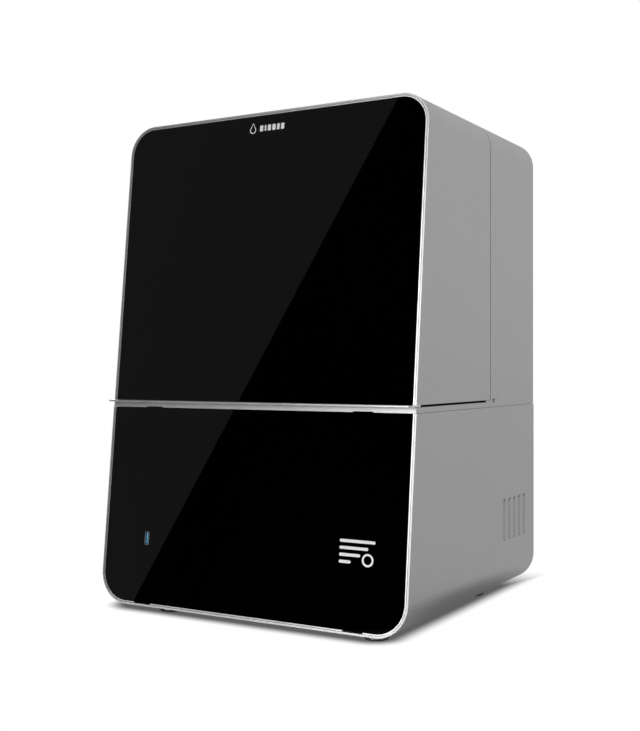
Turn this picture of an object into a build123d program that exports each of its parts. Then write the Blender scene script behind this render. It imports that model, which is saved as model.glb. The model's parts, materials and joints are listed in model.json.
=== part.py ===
from build123d import *
from math import atan, cos, radians, sin
import os

# Masked-light resin printer: a sheet-aluminium base with a raked black glass front, a deck
# with an LCD window, a vat and a ball-screw Z axis, and a clamshell cover that swings up on
# two goose-neck hinges.  Millimetres, +Z up, +X to the right, the front faces -Y.  The
# origin is the middle of the footprint, on the surface that the feet stand on.

# ---------------------------------------------------------------- driving dimensions: case
WIDTH = 400.0  # across the base, without the louvres
DEPTH = 377.0  # rear face to the foot of the raked front
FOOT_H = 15.0  # the feet lift the case this far
CASE_H = 566.7  # height of the outline that both halves of the case are cut from
FRONT_SETBACK = 0.104  # the front leans back this far for each mm of height
BOTTOM_R = 36.3  # lower corners of the outline
TOP_R = 33.8  # upper corners of the outline
SHEET = 2.0  # case wall
UPPER_INSET = 0.5  # the upper case stands in from the base all round
BASE_H = 228.0  # height of the base casing
SEAM = 0.3  # open line between the base and the deck rim
RIM_H = 5.9  # deck rim
RIM_W = 10.0  # deck rim, seen from above
LIP_GAP = 0.3  # the lifting lip hangs this far above the deck rim
LIP_T = 2.1  # lifting lip
LIP_REACH = 13.0  # the lip stands out of the front by this much
LIP_TUCK = 10.0  # and reaches this far in under the cover
SPLIT_FROM_REAR = 149.4  # the cover meets the rear housing here
SPLIT_GAP = 1.2  # open line between the cover and the rear housing
GROOVE = 0.6  # shadow groove between the case wall and the front bezel
BEZEL_LINE = 1.2  # visible width of the front bezel
GLASS_GAP = 0.1  # glass to bezel
GLASS_SINK = 0.3  # the glass lies this far behind the rim
GLASS_T = 2.9
FLANGE_W = 8.0  # ledge behind the glass that it is bonded to
TAB_X = 138.2  # glass locating tabs
TAB_W = 23.4
TAB_RISE = 1.1  # the upper tabs rise this far above the base casing
TAB_ROOM = 0.2  # a tab slot is this much wider on each side
CUT_PAST = 1.0  # cutting forms run this far past the faces they open
SWEEP_BACK = 90.0  # depth of the blanks that the raked slices are cut from
SWEEP_AHEAD = 20.0

# ---------------------------------------------------------------- driving dimensions: base
FOOT_X = 138.0
FOOT_Y = 133.5
FOOT_R = 14.0
PAD_T = 1.2
FOOT_CHAMFER = 0.8
LOUVRE_COUNT = 5
LOUVRE_PITCH = 17.2
LOUVRE_W = 10.0
LOUVRE_H = 50.4
LOUVRE_LOW = 64.6  # above the base's underside
LOUVRE_REAR_LIP = 28.0  # rear lip of the last louvre, from the rear face
HOOD_RISE = 1.8
HOOD_T = 0.8
HOOD_CORNER = 4.0
USB_X = -137.2
USB_Z = 77.0  # above the base's underside
USB_W = 6.3
USB_H = 15.4
USB_CORNER = 1.4
USB_L = 16.0
USB_WALL = 0.5
USB_TONGUE = (2.1, 12.4, 13.6)  # thickness, width and reach of the contact tongue
USB_TONGUE_OFF = -0.6  # the tongue sits off the socket's middle
DISPLAY_Z = 140.0  # above the base's underside
DISPLAY_FRAME = (121.0, 76.0, 6.0)
DISPLAY_BACK = (96.0, 58.0, 3.0)
PANEL_RECESS = 2.0  # the rear panels stand in by this much
PANEL_T = 2.0
FAN_SIZE = 80.0
FAN_DEPTH = 25.0
FAN_PIN_R = 2.0
FAN_CORNER = 5.0
FAN_WALL = 2.0  # between the fan's bore and its flat sides
FAN_HOLES = 71.5  # screw hole spacing
FAN_HOLE_R = 2.2
FAN_HUB_R = 16.0
FAN_HUB_H = 18.0
FAN_HUB_ROUND = 1.5
FAN_STRUT_W = 3.4
FAN_STRUT_T = 4.0
FAN_STRUT_ANGLES = (45, -45)
FAN_PIN_L = 16.0
FAN_PIN_BORE = 12.0
FAN_HUB_GAP = 5.0  # frame face to the hub
BLADES = 7
BLADE = (21.0, 1.6, 17.0)  # reach, thickness and depth of a fan blade
BLADE_R = 26.0  # hub centre to the middle of a blade
BLADE_PITCH = 42.0  # degrees
BLADE_LEVEL = 14.0  # frame face to the middle of the blades
WIRE_R = 0.9  # fan guard wire
GUARD_RINGS = (39.0, 30.0, 21.0, 12.0)
GUARD_T = 1.5
EXHAUST_X = -100.0
EXHAUST_Z = 130.0
INLET_X = 140.0
INLET_Z = 75.0
INLET_FLANGE = (48.0, 28.0, 1.8)
INLET_BODY = (31.0, 24.0, 22.0)
INLET_CAVITY = (24.4, 17.4, 17.0)
INLET_CORNER = 3.0
PIN_BLADE = (2.0, 4.0, 14.0)
PIN_SPOTS = ((-7, -2), (7, -2), (0, 2))
PIN_ROOT = 15.2  # panel face to the root of the pins
SWITCH_Z = 112.0
SWITCH_FLANGE = (17.0, 23.0, 1.2)
SWITCH_BODY = (14.0, 20.0, 16.0)
SWITCH_CAVITY = (11.0, 17.8, 11.0)
ROCKER_IN = 4.6  # rear face of the machine to the rocker's axis
ROCKER_W = 10.0
ROCKER_FORM = ((-4, -3), (-1, -8), (3, -8), (1.8, 0), (3, 8), (-1, 8), (-4, 3))
ROCKER_AXLE_R = 1.0
ROCKER_AXLE_L = 12.8
ROCKER_TILT = 8.0  # degrees each way
NET_X = 22.0
NET_Z = 44.0
NET_BODY = (16.0, 14.0, 21.0)
NET_CAVITY = (12.0, 8.4)
NET_CAVITY_UP = 0.6
NET_LATCH = (6.0, 3.0)
NET_LATCH_DOWN = 4.4
NET_DEEP = 14.0
SOCKET_ROOM = 0.2  # a socket's body to its hole in the panel, all round

# ------------------------------------------------- driving dimensions: light engine and deck
STAGE_Y = -30.0  # middle of the screen, the vat and the build plate
SCREEN_W = 206.0
SCREEN_D = 134.0
WINDOW_W = 196.0
WINDOW_D = 124.0
LCD_T = 2.2
COVER_GLASS_T = 0.8
LED_BOARD_Z = 138.0
LED_PITCH = 24.0
LED_COLUMNS = 6
LED_ROWS = 4
LENS_R = 9.0
LED_BOARD = (164.0, 108.0, 2.0)
HEATSINK = (150.0, 100.0, 6.0)
FIN = (2.0, 100.0, 26.0)
FIN_PITCH = 10.0
FIN_COUNT = 15
HOPPER_FOOT = (160.0, 104.0)  # light box where it stands on the board
HOPPER_WALL = 2.0
STUD_HOLE_R = 3.0  # deck holes for the vat's thumb screws
DECK_BORE_R = 5.0  # deck hole for the ball screw

# ---------------------------------------------------------------- driving dimensions: electronics
BOARD_SPOT = (-85.0, 85.0)
BOARD = (160.0, 110.0, 1.6)
BOARD_POSTS = (148.0, 98.0)
POST_R = 3.0
POST_H = 10.0
CHIP_SPOTS = ((-65, 95), (-115, 70))
CHIP_SIZE = 22.0
PLUG_SPOTS = ((-110, 115), (-30, 60))
PLUG_SIZE = (30.0, 12.0)
CHIP_H = 4.0
CAN_SPOTS = ((-140, 120), (-140, 100), (-50, 128), (-75, 128))
CAN_R = 5.0
CAN_H = 14.0
PSU_SPOT = (102.5, 47.5)
PSU_SIZE = (115.0, 215.0, 30.0)
PSU_WALL = 1.2
PSU_HOLES = (11.0, 14.0, 8, 11)
PSU_HOLE_R = 3.0

# ---------------------------------------------------------------- driving dimensions: Z axis
COLUMN_FRONT = 120.0
COLUMN_D = 40.0
COLUMN_W = 124.0
COLUMN_TOP = 560.0
CHANNEL_W = 44.0
CHANNEL_D = 30.0
SCREW_Y = 130.0
SCREW_R = 6.0
JOURNAL_R = 4.0
SHAFT_R = 2.5
RUNNING = 0.05  # radial clearance of every running fit
RAIL_X = 45.0
RAIL_W = 12.0
RAIL_T = 8.0
RAIL_INSET = (2.0, 4.0)  # the rails stop short of the column's foot and head
RAIL_HOLE = (1.8, 3.0, 4.0)  # hole and counterbore radius, counterbore depth
RAIL_HOLE_PITCH = 25.0
RAIL_HOLE_COUNT = 12
BEARING_H = 16.0
HEAD_ROOM = 24.0  # top of the column to the foot of the upper bearing
BLOCK_W = 27.0
BLOCK_T = 10.5
BLOCK_L = 34.0
BLOCK_INSET = 4.0
BLOCK_STAND = 5.0  # rail face to the carriage plate
CARRIAGE_LOW = 320.0
CARRIAGE_H = 90.0
CARRIAGE_T = 8.0
CARRIAGE_W = 120.0
CARRIAGE_CORNER = 6.0
NUT_LOW = 342.0
NUT_H = 40.0
NUT_R = 17.0
COUPLING_R = 9.5
COUPLING_DEEP = 12.0  # the motor shaft and the screw each reach this far in or short
COUPLING_RINGS = (10.0, 13.0, 16.0)
RING_GROOVE_R = 0.6
MOTOR_SIZE = 42.0
MOTOR_L = 48.0
MOTOR_CORNER = 4.0
PILOT_R = 11.0
PILOT_H = 2.0
MOTOR_HOLES = 31.0
MOTOR_POST_R = 4.0
SENSOR_Z = (258.0, 276.0)
SENSOR_W = 8.0
SENSOR_D = 20.0
FLAG_Z = (260.0, 274.0)
FLAG_W = 4.0
FLAG_REACH = 10.0
MOTOR_DROP = 32.0  # deck underside to the motor's top

# ------------------------------------------------- driving dimensions: platform and vat
PLATE_W = 196.0
PLATE_D = 124.0
PLATE_T = 16.0
PLATE_LOW = 322.0  # underside of the build plate where it is parked
STEM_HALF = 34.0
NECK_HALF = 25.0
STEM_REAR = 2.0
TINE_LOW = 357.0
TINE_T = 9.4
ARM_HALF = 50.0
ARM_TOP = 388.0
BRIDGE_LOW = 376.0
BRIDGE_HALF = 30.0
BRIDGE_SETBACK = 8.0
POCKET_IN = 16.0  # arm pockets: from the middle, and how much wall is left around them
POCKET_WALL = 8.0
POCKET_FRONT = 14.0
POCKET_REAR = 12.0
POCKET_FLOOR = 6.0
STEM_FRONT_IN = 2.0
STEM_GAP = 0.3
STEM_CHAMFER = 1.5
STUD_R = 5.0
ARM_ROUND = 3.0
PLATE_CORNER = 3.0
PLATE_CHAMFER = 2.5
CAP_BELOW = 3.0  # the stem's cap ends this far below the bridge
KNOB_R = 20.0
KNOB_H = 22.0
KNOB_LIFT = 3.0
KNOB_FLUTES = 8
FLUTE_R = 5.5
FLUTE_OUT = 3.2
KNOB_CHAMFER = 1.2
VAT_W = 250.0
VAT_D = 180.0
BOWL_W = 214.0
BOWL_D = 142.0
VAT_TOP = 285.0
VAT_CORNER = 10.0
BOWL_CORNER = 8.0
VAT_RIM_CHAMFER = 0.8
NOTCH = (44.0, 16.0, 10.0)  # pouring notch, before it is turned to the corner
NOTCH_DEEP = 6.0
NOTCH_OUT = 4.0
FILM_RING_T = 2.0
FILM_T = 0.3
VAT_KNOB_X = 138.0
VAT_EAR_Z = 255.0
VAT_EAR_T = 5.0
EAR_HALF = 40.0
EAR_PAST = 12.0  # the ear goes on beyond the screw
EAR_BITE = 2.0
EAR_SLOT_R = 3.4
FILM_MARGIN = 9.0
RING_MARGIN = 11.0
RING_CORNER = 9.0
RING_HOLE_R = 1.7
RING_SIDE_HOLES = (25.0, 6)
RING_END_HOLES = (26.0, 8)
THUMB_R = 10.5
THUMB_H = 13.0
KNURLS = 24
KNURL_R = 0.9
KNURL_OUT = 10.9
THUMB_STUD_R = 3.0
THUMB_CHAMFER = 0.6

# ---------------------------------------------------------------- driving dimensions: housing
STUB_BACK = 9.9  # raised stub low on each side, behind the split
STUB_SIZE = (20.0, 4.5)
STUB_LOW = 233.5  # above the base's underside
STUB_ROUND = 2.0
STUB_RISE = 1.4
PAD_L = 14.0  # the rim rises to meet the cover's rear corners over this length
VENT_Z = 500.0
VENT_PITCH = (12.0, 9.0)
VENT_COUNT = (12, 4)
VENT_SLOT = (8.0, 3.0)
HEAD_R = 3.0
HEAD_H = 1.4
HEX_R = 1.2
HEX_DEEP = 0.9
LOWER_SCREW_X = 188.0
UPPER_SCREW_X = 186.0
SCREW_IN = 12.0  # panel screws from the straight edges
SCREW_CORNER = 45.0  # and from the rounded ends
LIP_CORNER = 5.0
LIP_ROUND = 0.5

# ---------------------------------------------------------------- driving dimensions: hinge
PIVOT_BEHIND = 40.0  # pivot behind the front edge of the rear housing
PIVOT_BELOW = 10.0  # pivot below the top face
PIN_R = 3.0
HINGE_X = 152.0  # middle of each goose-neck
ARM_T = 4.0
NECK_IN = 44.5  # goose-neck bend, inner and outer radius about the pivot
NECK_OUT = 53.0
EYE_R = 5.0
WEB_W = 10.0
ARM_FOOT = (28.0, 42.0, 3.0)
BRACKET_FOOT = (24.0, 28.0, 2.0)
CHEEK_R = 6.5
CHEEK_T = 3.5
CHEEK_GAP = 0.5
HINGE_PIN_L = 18.0

# ---------------------------------------------------------------------------- worked out
REAR = DEPTH / 2
FRONT_FOOT = -DEPTH / 2
RAKE = atan(FRONT_SETBACK)
CASE_BOTTOM = FOOT_H
CASE_TOP = FOOT_H + CASE_H
BASE_TOP = CASE_BOTTOM + BASE_H
DECK_LOW = BASE_TOP + SEAM
DECK_TOP = DECK_LOW + RIM_H
LIP_LOW = DECK_TOP + LIP_GAP
COVER_LOW = LIP_LOW + LIP_T
UPPER_TOP = CASE_TOP - UPPER_INSET
UPPER_REAR = REAR - UPPER_INSET
UPPER_HALF = WIDTH / 2 - UPPER_INSET
ROOF_UNDER = UPPER_TOP - SHEET
SPLIT = REAR - SPLIT_FROM_REAR
HOUSING_FRONT = SPLIT + SPLIT_GAP / 2
COVER_REAR = SPLIT - SPLIT_GAP / 2
PIVOT_Y = HOUSING_FRONT + PIVOT_BEHIND
PIVOT_Z = UPPER_TOP - PIVOT_BELOW
BEZEL_FAR = GLASS_SINK + GLASS_T
FLANGE_FAR = BEZEL_FAR + SHEET
FILM_LOW = DECK_TOP + LIP_GAP + FILM_RING_T
FILM_TOP = FILM_LOW + FILM_T
CARRIAGE_REAR = COLUMN_FRONT - RAIL_T - BLOCK_STAND
CARRIAGE_FRONT = CARRIAGE_REAR - CARRIAGE_T
MOTOR_TOP = DECK_LOW - MOTOR_DROP
SIDES = (-1, 1)

# The raked front face, with its normal pointing out of the machine.
FRONT_PLANE = Plane(
    origin=(0, FRONT_FOOT, CASE_BOTTOM),
    x_dir=(1, 0, 0),
    z_dir=(0, -cos(RAKE), sin(RAKE)),
)

os.makedirs("parts", exist_ok=True)


# ---------------------------------------------------------------------------- helpers
def front_y(z):
    """Y of the raked front face at height z."""
    return FRONT_FOOT + (z - CASE_BOTTOM) * FRONT_SETBACK


def front_spot(x, z):
    """A plane on the raked front face, centred at that x and height."""
    return Plane(origin=(x, front_y(z), z), x_dir=(1, 0, 0), z_dir=FRONT_PLANE.z_dir)


def rear_spot(x, z, y=REAR - PANEL_RECESS):
    """A plane that faces the rear at that x and height, with its own x pointing to -X."""
    return Plane(origin=(x, y, z), x_dir=(-1, 0, 0), z_dir=(0, 1, 0))


def block(x_span, y_span, z_span, mode=Mode.ADD):
    """A box between two X, two Y and two Z limits."""
    spans = (x_span, y_span, z_span)
    with Locations(tuple(sum(span) / 2 for span in spans)):
        Box(*(abs(span[1] - span[0]) for span in spans), mode=mode)


def case_prism(inset, z_span, y_span, mode=Mode.ADD):
    """The case outline drawn in by `inset`, cut off at two heights, run from front to rear."""
    with BuildSketch(Plane.XZ.offset(-y_span[1])) as outline:
        with Locations((0, CASE_BOTTOM + CASE_H / 2)):
            Rectangle(WIDTH - 2 * inset, CASE_H - 2 * inset)
        fillet(outline.vertices().group_by(Axis.Y)[0], BOTTOM_R - inset)
        fillet(outline.vertices().group_by(Axis.Y)[-1], TOP_R - inset)
        with Locations((0, sum(z_span) / 2)):
            Rectangle(2 * WIDTH, z_span[1] - z_span[0], mode=Mode.INTERSECT)
    extrude(outline.sketch, amount=y_span[1] - y_span[0], mode=mode)


def front_slab(inset, z_span, near, far):
    """A slice of the case outline parallel to the raked front, `near` to `far` behind it."""
    with BuildPart() as slab:
        case_prism(inset, z_span, (FRONT_FOOT - SWEEP_AHEAD, FRONT_FOOT + SWEEP_BACK))
        split(bisect_by=FRONT_PLANE.offset(-near), keep=Keep.BOTTOM)
        split(bisect_by=FRONT_PLANE.offset(-far), keep=Keep.TOP)
    return slab.part


def front_bars(z_spans, width, near, far):
    """Short bars at the two glass tab places, cut parallel to the raked front."""
    with BuildPart() as bars:
        for side in SIDES:
            for z_span in z_spans:
                x_span = (side * TAB_X - width / 2, side * TAB_X + width / 2)
                block(x_span, (FRONT_FOOT - SWEEP_AHEAD, FRONT_FOOT + SWEEP_BACK), z_span)
        split(bisect_by=FRONT_PLANE.offset(-near), keep=Keep.BOTTOM)
        split(bisect_by=FRONT_PLANE.offset(-far), keep=Keep.TOP)
    return bars.part


def write_piece(piece, name):
    """Labels a finished piece and writes it as its own STEP file."""
    piece.part.label = name
    export_step(piece.part, f"parts/{name}.step")


# ============================================================================ base casing
def hood_form(inset):
    """A louvre hood: steep at its front foot, level at its open rear lip (at y = 0)."""
    with BuildPart() as form:
        with BuildSketch(Plane.XY.offset(inset - LOUVRE_H / 2)):
            Ellipse(HOOD_RISE - inset, LOUVRE_W - inset)
            with Locations((LOUVRE_W / 2, -LOUVRE_W / 2)):
                Rectangle(LOUVRE_W, LOUVRE_W, mode=Mode.INTERSECT)
        extrude(amount=LOUVRE_H - 2 * inset)
        with BuildSketch(Plane.YZ.offset(-CUT_PAST)):
            with Locations((inset / 2 - LOUVRE_W / 2, 0)):
                RectangleRounded(LOUVRE_W - inset, LOUVRE_H - 2 * inset, HOOD_CORNER)
        extrude(amount=LOUVRE_W, mode=Mode.INTERSECT)
    return form.part


with BuildPart() as louvre_cut:
    add(hood_form(HOOD_T))
    with BuildSketch(Plane.YZ.offset(-2 * SHEET)):
        with Locations((HOOD_T / 2 - LOUVRE_W / 2, 0)):
            RectangleRounded(LOUVRE_W - HOOD_T, LOUVRE_H - 2 * HOOD_T, HOOD_CORNER)
    extrude(amount=2 * SHEET)
hood = hood_form(0)
louvre_mid_z = CASE_BOTTOM + LOUVRE_LOW + LOUVRE_H / 2
louvre_spots = [
    Location((WIDTH / 2, REAR - LOUVRE_REAR_LIP - i * LOUVRE_PITCH, louvre_mid_z))
    for i in range(LOUVRE_COUNT)
]

with BuildPart() as base_shell:
    case_prism(0, (CASE_BOTTOM, BASE_TOP), (FRONT_FOOT - CUT_PAST, REAR))
    case_prism(SHEET, (CASE_BOTTOM, BASE_TOP), (FRONT_FOOT - CUT_PAST, REAR), mode=Mode.SUBTRACT)
    split(bisect_by=FRONT_PLANE, keep=Keep.BOTTOM)
    for spot in louvre_spots:
        for across in (False, True):
            rise = hood.moved(spot)
            hollow = louvre_cut.part.moved(spot)
            add(rise.mirror(Plane.YZ) if across else rise)
            add(hollow.mirror(Plane.YZ) if across else hollow, mode=Mode.SUBTRACT)
write_piece(base_shell, "base_shell")

base_span = (CASE_BOTTOM, BASE_TOP)
base_line = SHEET + GROOVE
base_glass_edge = base_line + BEZEL_LINE
base_rim = front_slab(base_line, base_span, 0, BEZEL_FAR)
base_ledge = front_slab(SHEET, base_span, BEZEL_FAR, FLANGE_FAR)
base_seat = front_slab(base_glass_edge, base_span, -CUT_PAST, BEZEL_FAR)
base_window = front_slab(base_glass_edge + FLANGE_W, base_span, 0, FLANGE_FAR + CUT_PAST)
slot_z = (CASE_BOTTOM, CASE_BOTTOM + 2 * SHEET + 1)
tab_slots = front_bars([slot_z], TAB_W + 2 * TAB_ROOM, -CUT_PAST, BEZEL_FAR)

with BuildPart() as base_bezel:
    add(base_rim)
    add(base_ledge)
    add(base_seat, mode=Mode.SUBTRACT)
    add(base_window, mode=Mode.SUBTRACT)
    add(tab_slots, mode=Mode.SUBTRACT)
write_piece(base_bezel, "base_bezel")

base_pane = front_slab(base_glass_edge + GLASS_GAP, base_span, GLASS_SINK, BEZEL_FAR)
tab_spans = [
    (CASE_BOTTOM + base_line + GLASS_GAP, CASE_BOTTOM + 2 * base_glass_edge),
    (BASE_TOP - SHEET, BASE_TOP + TAB_RISE),
]
glass_tabs = front_bars(tab_spans, TAB_W, GLASS_SINK, BEZEL_FAR)

with BuildPart() as base_glass:
    add(base_pane)
    add(glass_tabs)
    with BuildSketch(front_spot(USB_X, CASE_BOTTOM + USB_Z)):
        RectangleRounded(USB_W, USB_H, USB_CORNER)
    extrude(amount=-3 * GLASS_T, mode=Mode.SUBTRACT)
write_piece(base_glass, "base_glass")

# The USB socket stands upright behind its slot, with its contact tongue inside.
usb_plane = front_spot(USB_X, CASE_BOTTOM + USB_Z).offset(-GLASS_SINK - 2 * GLASS_GAP)
usb_w = USB_W - 2 * GLASS_GAP
usb_h = USB_H - 2 * GLASS_GAP
usb_deep = USB_L - 2 * USB_WALL
with BuildPart() as usb_port:
    with BuildSketch(usb_plane):
        RectangleRounded(usb_w, usb_h, USB_CORNER - GLASS_GAP)
    extrude(amount=-USB_L)
    with BuildSketch(usb_plane):
        RectangleRounded(usb_w - 2 * USB_WALL, usb_h - 2 * USB_WALL, USB_CORNER - GLASS_GAP - USB_WALL)
    extrude(amount=-usb_deep, mode=Mode.SUBTRACT)
write_piece(usb_port, "usb_port")

with BuildPart() as usb_tongue:
    with BuildSketch(usb_plane.offset(-usb_deep)):
        with Locations((USB_TONGUE_OFF, 0)):
            RectangleRounded(USB_TONGUE[0], USB_TONGUE[1], 0.3)
    extrude(amount=USB_TONGUE[2])
write_piece(usb_tongue, "usb_tongue")

# A dead-front touch display is bonded to the back of the lower glass.
display_plane = front_spot(0, CASE_BOTTOM + DISPLAY_Z).offset(-BEZEL_FAR)
with BuildPart() as touch_display:
    with BuildSketch(display_plane):
        RectangleRounded(DISPLAY_FRAME[0], DISPLAY_FRAME[1], 2)
    extrude(amount=-DISPLAY_FRAME[2])
    with BuildSketch(display_plane.offset(-DISPLAY_FRAME[2])):
        Rectangle(DISPLAY_BACK[0], DISPLAY_BACK[1])
    extrude(amount=-DISPLAY_BACK[2])
write_piece(touch_display, "touch_display")

# ---------------------------------------------------------------------------- feet
foot_places = [(x * FOOT_X, y * FOOT_Y) for x in SIDES for y in SIDES]
with BuildPart() as feet:
    with BuildSketch(Plane.XY.offset(PAD_T)):
        with Locations(*foot_places):
            Circle(FOOT_R)
    extrude(amount=FOOT_H - PAD_T)
    chamfer(feet.edges().filter_by(GeomType.CIRCLE).group_by(Axis.Z)[0], FOOT_CHAMFER)
write_piece(feet, "feet")

with BuildPart() as foot_pads:
    with BuildSketch():
        with Locations(*foot_places):
            Circle(FOOT_R - 1)
    extrude(amount=PAD_T)
    fillet(foot_pads.edges().filter_by(GeomType.CIRCLE).group_by(Axis.Z)[0], FOOT_CHAMFER)
write_piece(foot_pads, "foot_pads")

# ---------------------------------------------------------------------------- rear of the base
panel_y = (REAR - PANEL_RECESS - PANEL_T, REAR - PANEL_RECESS)
fan_hole_r = FAN_SIZE / 2 - FAN_WALL
with BuildPart() as rear_lower_panel:
    case_prism(SHEET, base_span, panel_y)
    with BuildSketch(rear_spot(EXHAUST_X, EXHAUST_Z)):
        Circle(fan_hole_r)
    with BuildSketch(rear_spot(INLET_X, INLET_Z)):
        Rectangle(INLET_BODY[0] + 2 * SOCKET_ROOM, INLET_BODY[1] + 2 * SOCKET_ROOM)
    with BuildSketch(rear_spot(INLET_X, SWITCH_Z)):
        Rectangle(SWITCH_BODY[0] + SOCKET_ROOM, SWITCH_BODY[1] + SOCKET_ROOM)
    with BuildSketch(rear_spot(NET_X, NET_Z)):
        Rectangle(NET_BODY[0] + 2 * SOCKET_ROOM, NET_BODY[1] + 2 * SOCKET_ROOM)
    extrude(amount=-3 * PANEL_T, mode=Mode.SUBTRACT)
write_piece(rear_lower_panel, "rear_lower_panel")

with BuildPart() as power_inlet:
    with BuildSketch(rear_spot(INLET_X, INLET_Z)):
        RectangleRounded(INLET_FLANGE[0], INLET_FLANGE[1], INLET_CORNER)
    extrude(amount=INLET_FLANGE[2])
    chamfer(power_inlet.faces().sort_by(Axis.Y)[-1].edges(), 0.5)
    with BuildSketch(rear_spot(INLET_X, INLET_Z)):
        Rectangle(INLET_BODY[0], INLET_BODY[1])
    extrude(amount=-INLET_BODY[2])
    with BuildSketch(rear_spot(INLET_X, INLET_Z).offset(INLET_FLANGE[2])):
        RectangleRounded(INLET_CAVITY[0], INLET_CAVITY[1], INLET_CORNER)
    extrude(amount=-INLET_CAVITY[2], mode=Mode.SUBTRACT)
write_piece(power_inlet, "power_inlet")

with BuildPart() as inlet_pins:
    with BuildSketch(rear_spot(INLET_X, INLET_Z).offset(-PIN_ROOT)):
        with Locations(*PIN_SPOTS):
            Rectangle(PIN_BLADE[0], PIN_BLADE[1])
    extrude(amount=PIN_BLADE[2])
write_piece(inlet_pins, "inlet_pins")

rocker_y = REAR - ROCKER_IN
with BuildPart() as switch_body:
    with BuildSketch(rear_spot(INLET_X, SWITCH_Z)):
        RectangleRounded(SWITCH_FLANGE[0], SWITCH_FLANGE[1], 1)
    extrude(amount=SWITCH_FLANGE[2])
    chamfer(switch_body.faces().sort_by(Axis.Y)[-1].edges(), 0.4)
    with BuildSketch(rear_spot(INLET_X, SWITCH_Z)):
        Rectangle(SWITCH_BODY[0], SWITCH_BODY[1])
    extrude(amount=-SWITCH_BODY[2])
    with BuildSketch(rear_spot(INLET_X, SWITCH_Z).offset(SWITCH_FLANGE[2])):
        Rectangle(SWITCH_CAVITY[0], SWITCH_CAVITY[1])
    extrude(amount=-SWITCH_CAVITY[2], mode=Mode.SUBTRACT)
    with Locations(Location((INLET_X, rocker_y, SWITCH_Z), (0, 90, 0))):
        Cylinder(ROCKER_AXLE_R + RUNNING, ROCKER_AXLE_L + 0.4, mode=Mode.SUBTRACT)
write_piece(switch_body, "switch_body")

# The rocker rests with its upper half pushed in; its own frame is tipped by ROCKER_TILT.
tilt = radians(ROCKER_TILT)
rocker_plane = Plane(
    origin=(INLET_X, rocker_y, SWITCH_Z),
    x_dir=(0, cos(tilt), sin(tilt)),
    z_dir=(1, 0, 0),
)
with BuildPart() as switch_rocker:
    with BuildSketch(rocker_plane):
        Polygon(*ROCKER_FORM, align=None)
    extrude(amount=ROCKER_W / 2, both=True)
    with BuildSketch(rocker_plane):
        Circle(ROCKER_AXLE_R)
    extrude(amount=ROCKER_AXLE_L / 2, both=True)
write_piece(switch_rocker, "switch_rocker")

with BuildPart() as network_port:
    with BuildSketch(rear_spot(NET_X, NET_Z)):
        Rectangle(NET_BODY[0], NET_BODY[1])
    extrude(amount=-NET_BODY[2])
    with BuildSketch(rear_spot(NET_X, NET_Z)):
        with Locations((0, NET_CAVITY_UP)):
            Rectangle(NET_CAVITY[0], NET_CAVITY[1])
        with Locations((0, -NET_LATCH_DOWN)):
            Rectangle(NET_LATCH[0], NET_LATCH[1])
    extrude(amount=-NET_DEEP, mode=Mode.SUBTRACT)
write_piece(network_port, "network_port")

# ---------------------------------------------------------------------------- fans
def fan_frame(plane):
    """A square axial fan frame on `plane`; struts carry the bearing pin at its first face."""
    with BuildPart() as frame:
        with BuildSketch(plane):
            RectangleRounded(FAN_SIZE, FAN_SIZE, FAN_CORNER)
            with GridLocations(FAN_HOLES, FAN_HOLES, 2, 2):
                Circle(FAN_HOLE_R, mode=Mode.SUBTRACT)
        extrude(amount=FAN_DEPTH)
        with BuildSketch(plane):
            Circle(fan_hole_r)
        extrude(amount=FAN_DEPTH, mode=Mode.SUBTRACT)
        with BuildSketch(plane):
            Circle(FAN_HUB_R)
            for angle in FAN_STRUT_ANGLES:
                Rectangle(FAN_SIZE - 3, FAN_STRUT_W, rotation=angle)
        extrude(amount=FAN_STRUT_T)
        with BuildSketch(plane):
            Circle(FAN_PIN_R)
        extrude(amount=FAN_PIN_L)
    return frame


def fan_rotor(plane):
    """Hub and pitched blades, running on the frame's pin."""
    with BuildPart() as rotor:
        with BuildSketch(plane.offset(FAN_HUB_GAP)):
            Circle(FAN_HUB_R)
        extrude(amount=FAN_HUB_H)
        fillet(rotor.edges().filter_by(GeomType.CIRCLE), FAN_HUB_ROUND)
        with Locations(plane.offset(BLADE_LEVEL)):
            with PolarLocations(BLADE_R, BLADES):
                Box(*BLADE, rotation=(BLADE_PITCH, 0, 0))
        with BuildSketch(plane.offset(FAN_HUB_GAP)):
            Circle(FAN_PIN_R + RUNNING)
        extrude(amount=FAN_PIN_BORE, mode=Mode.SUBTRACT)
    return rotor


exhaust_plane = Plane(
    origin=(EXHAUST_X, panel_y[0], EXHAUST_Z),
    x_dir=(1, 0, 0),
    z_dir=(0, -1, 0),
)
exhaust_fan_frame = fan_frame(exhaust_plane)
write_piece(exhaust_fan_frame, "exhaust_fan_frame")
exhaust_fan_rotor = fan_rotor(exhaust_plane)
write_piece(exhaust_fan_rotor, "exhaust_fan_rotor")

with BuildPart() as fan_guard:
    with BuildSketch(rear_spot(EXHAUST_X, EXHAUST_Z)):
        for ring_r in GUARD_RINGS:
            Circle(ring_r + WIRE_R)
            Circle(ring_r - WIRE_R, mode=Mode.SUBTRACT)
        for angle in FAN_STRUT_ANGLES:
            Rectangle(2 * GUARD_RINGS[0], 2 * WIRE_R, rotation=angle)
    extrude(amount=GUARD_T)
write_piece(fan_guard, "fan_guard")

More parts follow.
